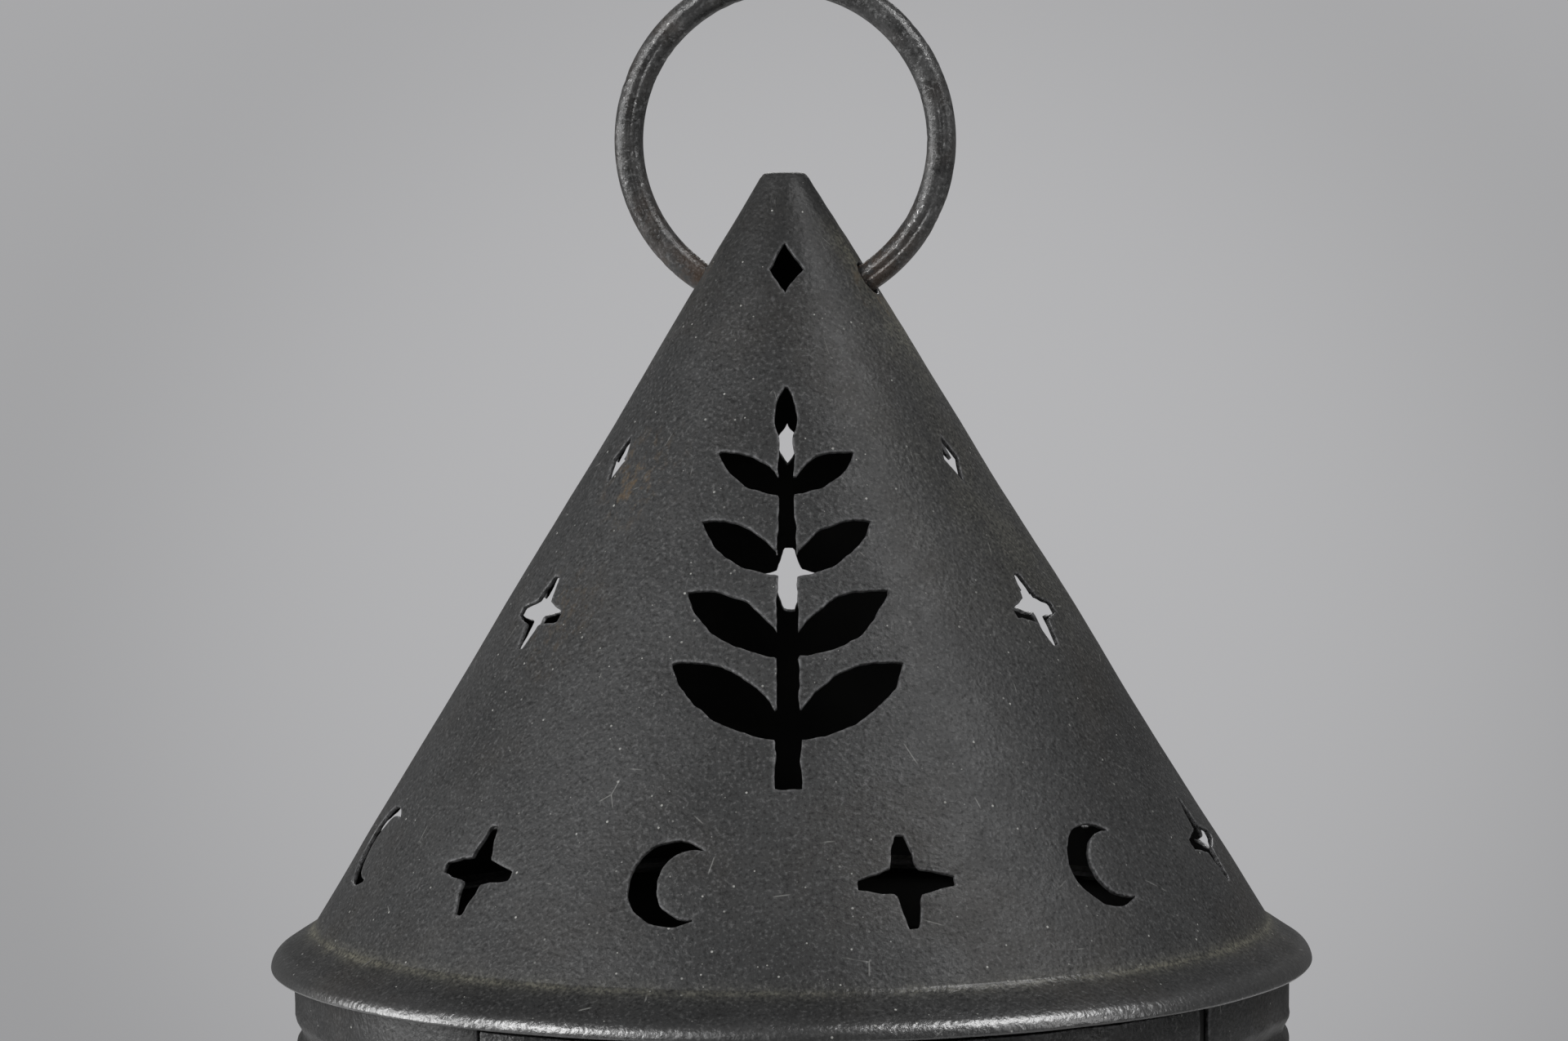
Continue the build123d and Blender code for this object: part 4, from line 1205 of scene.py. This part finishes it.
# Lamps: place and edge in metres, power in watts
LAMP_AIM = (0, 0, 0.25)
LAMPS = {
    "front_left": ((-0.9, -1.6, 1.3), 0.8, 3),
    "left": ((-1.4, -0.9, 1.1), 0.7, 18),
    "left_side": ((-1.8, 0.0, 0.4), 0.8, 14),
    "right": ((1.5, -0.72, 0.75), 0.6, 3.2),
    "right_high": ((1.3, -0.6, 2.1), 1.0, 29),
    "back": ((0.0, 2.2, 1.5), 1.0, 24),
}


def camera():
    """Camera at the picture's view of the lantern."""
    ahead = cos(CAMERA_PITCH)
    forward = Vector((sin(CAMERA_YAW) * ahead, cos(CAMERA_YAW) * ahead, -sin(CAMERA_PITCH)))
    level = Vector((cos(CAMERA_YAW), -sin(CAMERA_YAW), 0))
    rise = level.cross(forward)
    right = level * cos(CAMERA_ROLL) + rise * sin(CAMERA_ROLL)
    up = rise * cos(CAMERA_ROLL) - level * sin(CAMERA_ROLL)
    data = bpy.data.cameras.new("camera")
    data.sensor_width = SENSOR
    data.lens = FOCAL_PIXELS * SENSOR / IMAGE_WIDTH
    data.clip_start = NEAREST
    made = scene_object("camera", data)
    turn = Matrix((right, up, -forward)).transposed().to_4x4()
    made.matrix_world = Matrix.Translation(Vector(CAMERA_PLACE) * MM) @ turn
    bpy.context.scene.camera = made


def world():
    """Soft grey surroundings; the camera sees the pale backdrop with a faint glow."""
    made = bpy.data.worlds.new("studio")
    bpy.context.scene.world = made
    made.use_nodes = True
    tree = made.node_tree
    tree.nodes.clear()

    def add(kind, inputs=None, **settings):
        return add_node(tree, kind, inputs, **settings).outputs

    rays = add("ShaderNodeLightPath")
    direct = {0: rays["Is Camera Ray"], 1: rays["Is Transmission Ray"]}
    seen = add("ShaderNodeMath", direct, operation="MAXIMUM")[0]
    view = add("ShaderNodeTexCoord")["Generated"]
    nearness = add("ShaderNodeVectorMath", {0: view, 1: GLOW_TOWARDS}, operation="DOT_PRODUCT")["Value"]
    glow_range = {"Value": nearness, "From Min": cos(GLOW_REACH), "From Max": 1.0, "To Max": GLOW}
    glow = add("ShaderNodeMapRange", glow_range, interpolation_type="SMOOTHSTEP")[0]
    height = add("ShaderNodeSeparateXYZ", {0: view})["Z"]
    heights = {"Value": height, "From Min": BACKDROP_FROM, "From Max": BACKDROP_TO}
    shades = {"To Min": BACKDROP_LOW, "To Max": BACKDROP_HIGH}
    shade = add("ShaderNodeMapRange", heights | shades)[0]
    tone = add("ShaderNodeMath", {0: glow, 1: shade}, operation="ADD")[0]
    backdrop = add("ShaderNodeBackground", {"Strength": tone, "Color": BACKDROP_TINT})[0]
    light = add("ShaderNodeBackground", {"Strength": AMBIENT, "Color": (1, 1, 1, 1)})[0]
    both = add("ShaderNodeMixShader", {0: seen, 1: light, 2: backdrop})[0]
    add("ShaderNodeOutputWorld", {"Surface": both})


def floor():
    """Pale round floor that fades into the backdrop away from the lantern."""
    turns = np.linspace(0, 2 * pi, FLOOR_AROUND, endpoint=False)
    points = [(0.0, 0.0, 0.0)]
    for ring in range(1, FLOOR_RINGS + 1):
        radius = FLOOR_FAR * ring / FLOOR_RINGS
        points += [(radius * cos(a), radius * sin(a), 0.0) for a in turns]
    faces = [(0, 1 + k, 1 + (k + 1) % FLOOR_AROUND) for k in range(FLOOR_AROUND)]
    faces += row_quads(FLOOR_RINGS, FLOOR_AROUND, 1)
    mesh = bpy.data.meshes.new("floor")
    mesh.from_pydata(points, [], faces)
    s = Shader("pale_floor")
    fade = s.add("ShaderNodeVectorMath", {0: s.place}, operation="LENGTH").outputs["Value"]
    gone = s.ranged(fade, FLOOR_NEAR / MM, FLOOR_FAR * 0.98 / MM)
    mottle = s.ranged(s.noise(30, 4, 0.6), 0.3, 0.7, FLOOR_GREY * 0.97, FLOOR_GREY)
    tint = s.add("ShaderNodeCombineColor", {0: mottle, 1: mottle, 2: mottle}).outputs[0]
    matte = s.add("ShaderNodeBsdfDiffuse", {"Color": tint})
    clear = s.add("ShaderNodeBsdfTransparent")
    both = s.add("ShaderNodeMixShader", {0: gone, 1: matte.outputs[0], 2: clear.outputs[0]})
    mesh.materials.append(s.surface(both))
    scene_object("floor", mesh)


def softbox(name, place, size, power):
    """Square area lamp aimed at the lantern."""
    data = bpy.data.lights.new(name, "AREA")
    data.energy = power
    data.size = size
    made = scene_object(name, data)
    made.location = place
    made.rotation_mode = "QUATERNION"
    made.rotation_quaternion = (Vector(LAMP_AIM) - Vector(place)).to_track_quat("-Z", "Y")


def main():
    bpy.context.scene.view_settings.view_transform = "Standard"
    smoked = (TIP_HEIGHT - 32, TIP_HEIGHT - 8)
    polished = (RIM_RADIUS - 3.4, RIM_RADIUS - 0.3)
    roof_tin = blackened("roof_tin", 0.031, 0.043, gloss=0.5, pebble=0.8, shine=0.28, smoked=smoked)
    rim_tin = blackened("rim_tin", 0.019, 0.027, gloss=0.36, pebble=0.6, shine=0.5, polished=polished)
    body_tin = blackened("body_tin", 0.02, 0.03, gloss=0.42, pebble=0.6, shine=0.4)
    door_tin = blackened("door_tin", 0.018, 0.028, gloss=0.38, pebble=0.85, shine=0.5)
    soot_and_shade = make_soot_and_shade("soot_and_shade")
    dress_roof(roof_tin, soot_and_shade)
    dress_body(body_tin, soot_and_shade)
    dress_door(door_tin, soot_and_shade)
    dress_beads(rim_tin)
    dress_ring(forged("forged_iron"))
    keep_nodes(fitting_iron("black_iron"), tarnished("smoked_tin"), soot_and_shade)
    world()
    floor()
    for name, (place, size, power) in LAMPS.items():
        softbox(name, place, size, power)
    camera()


main()
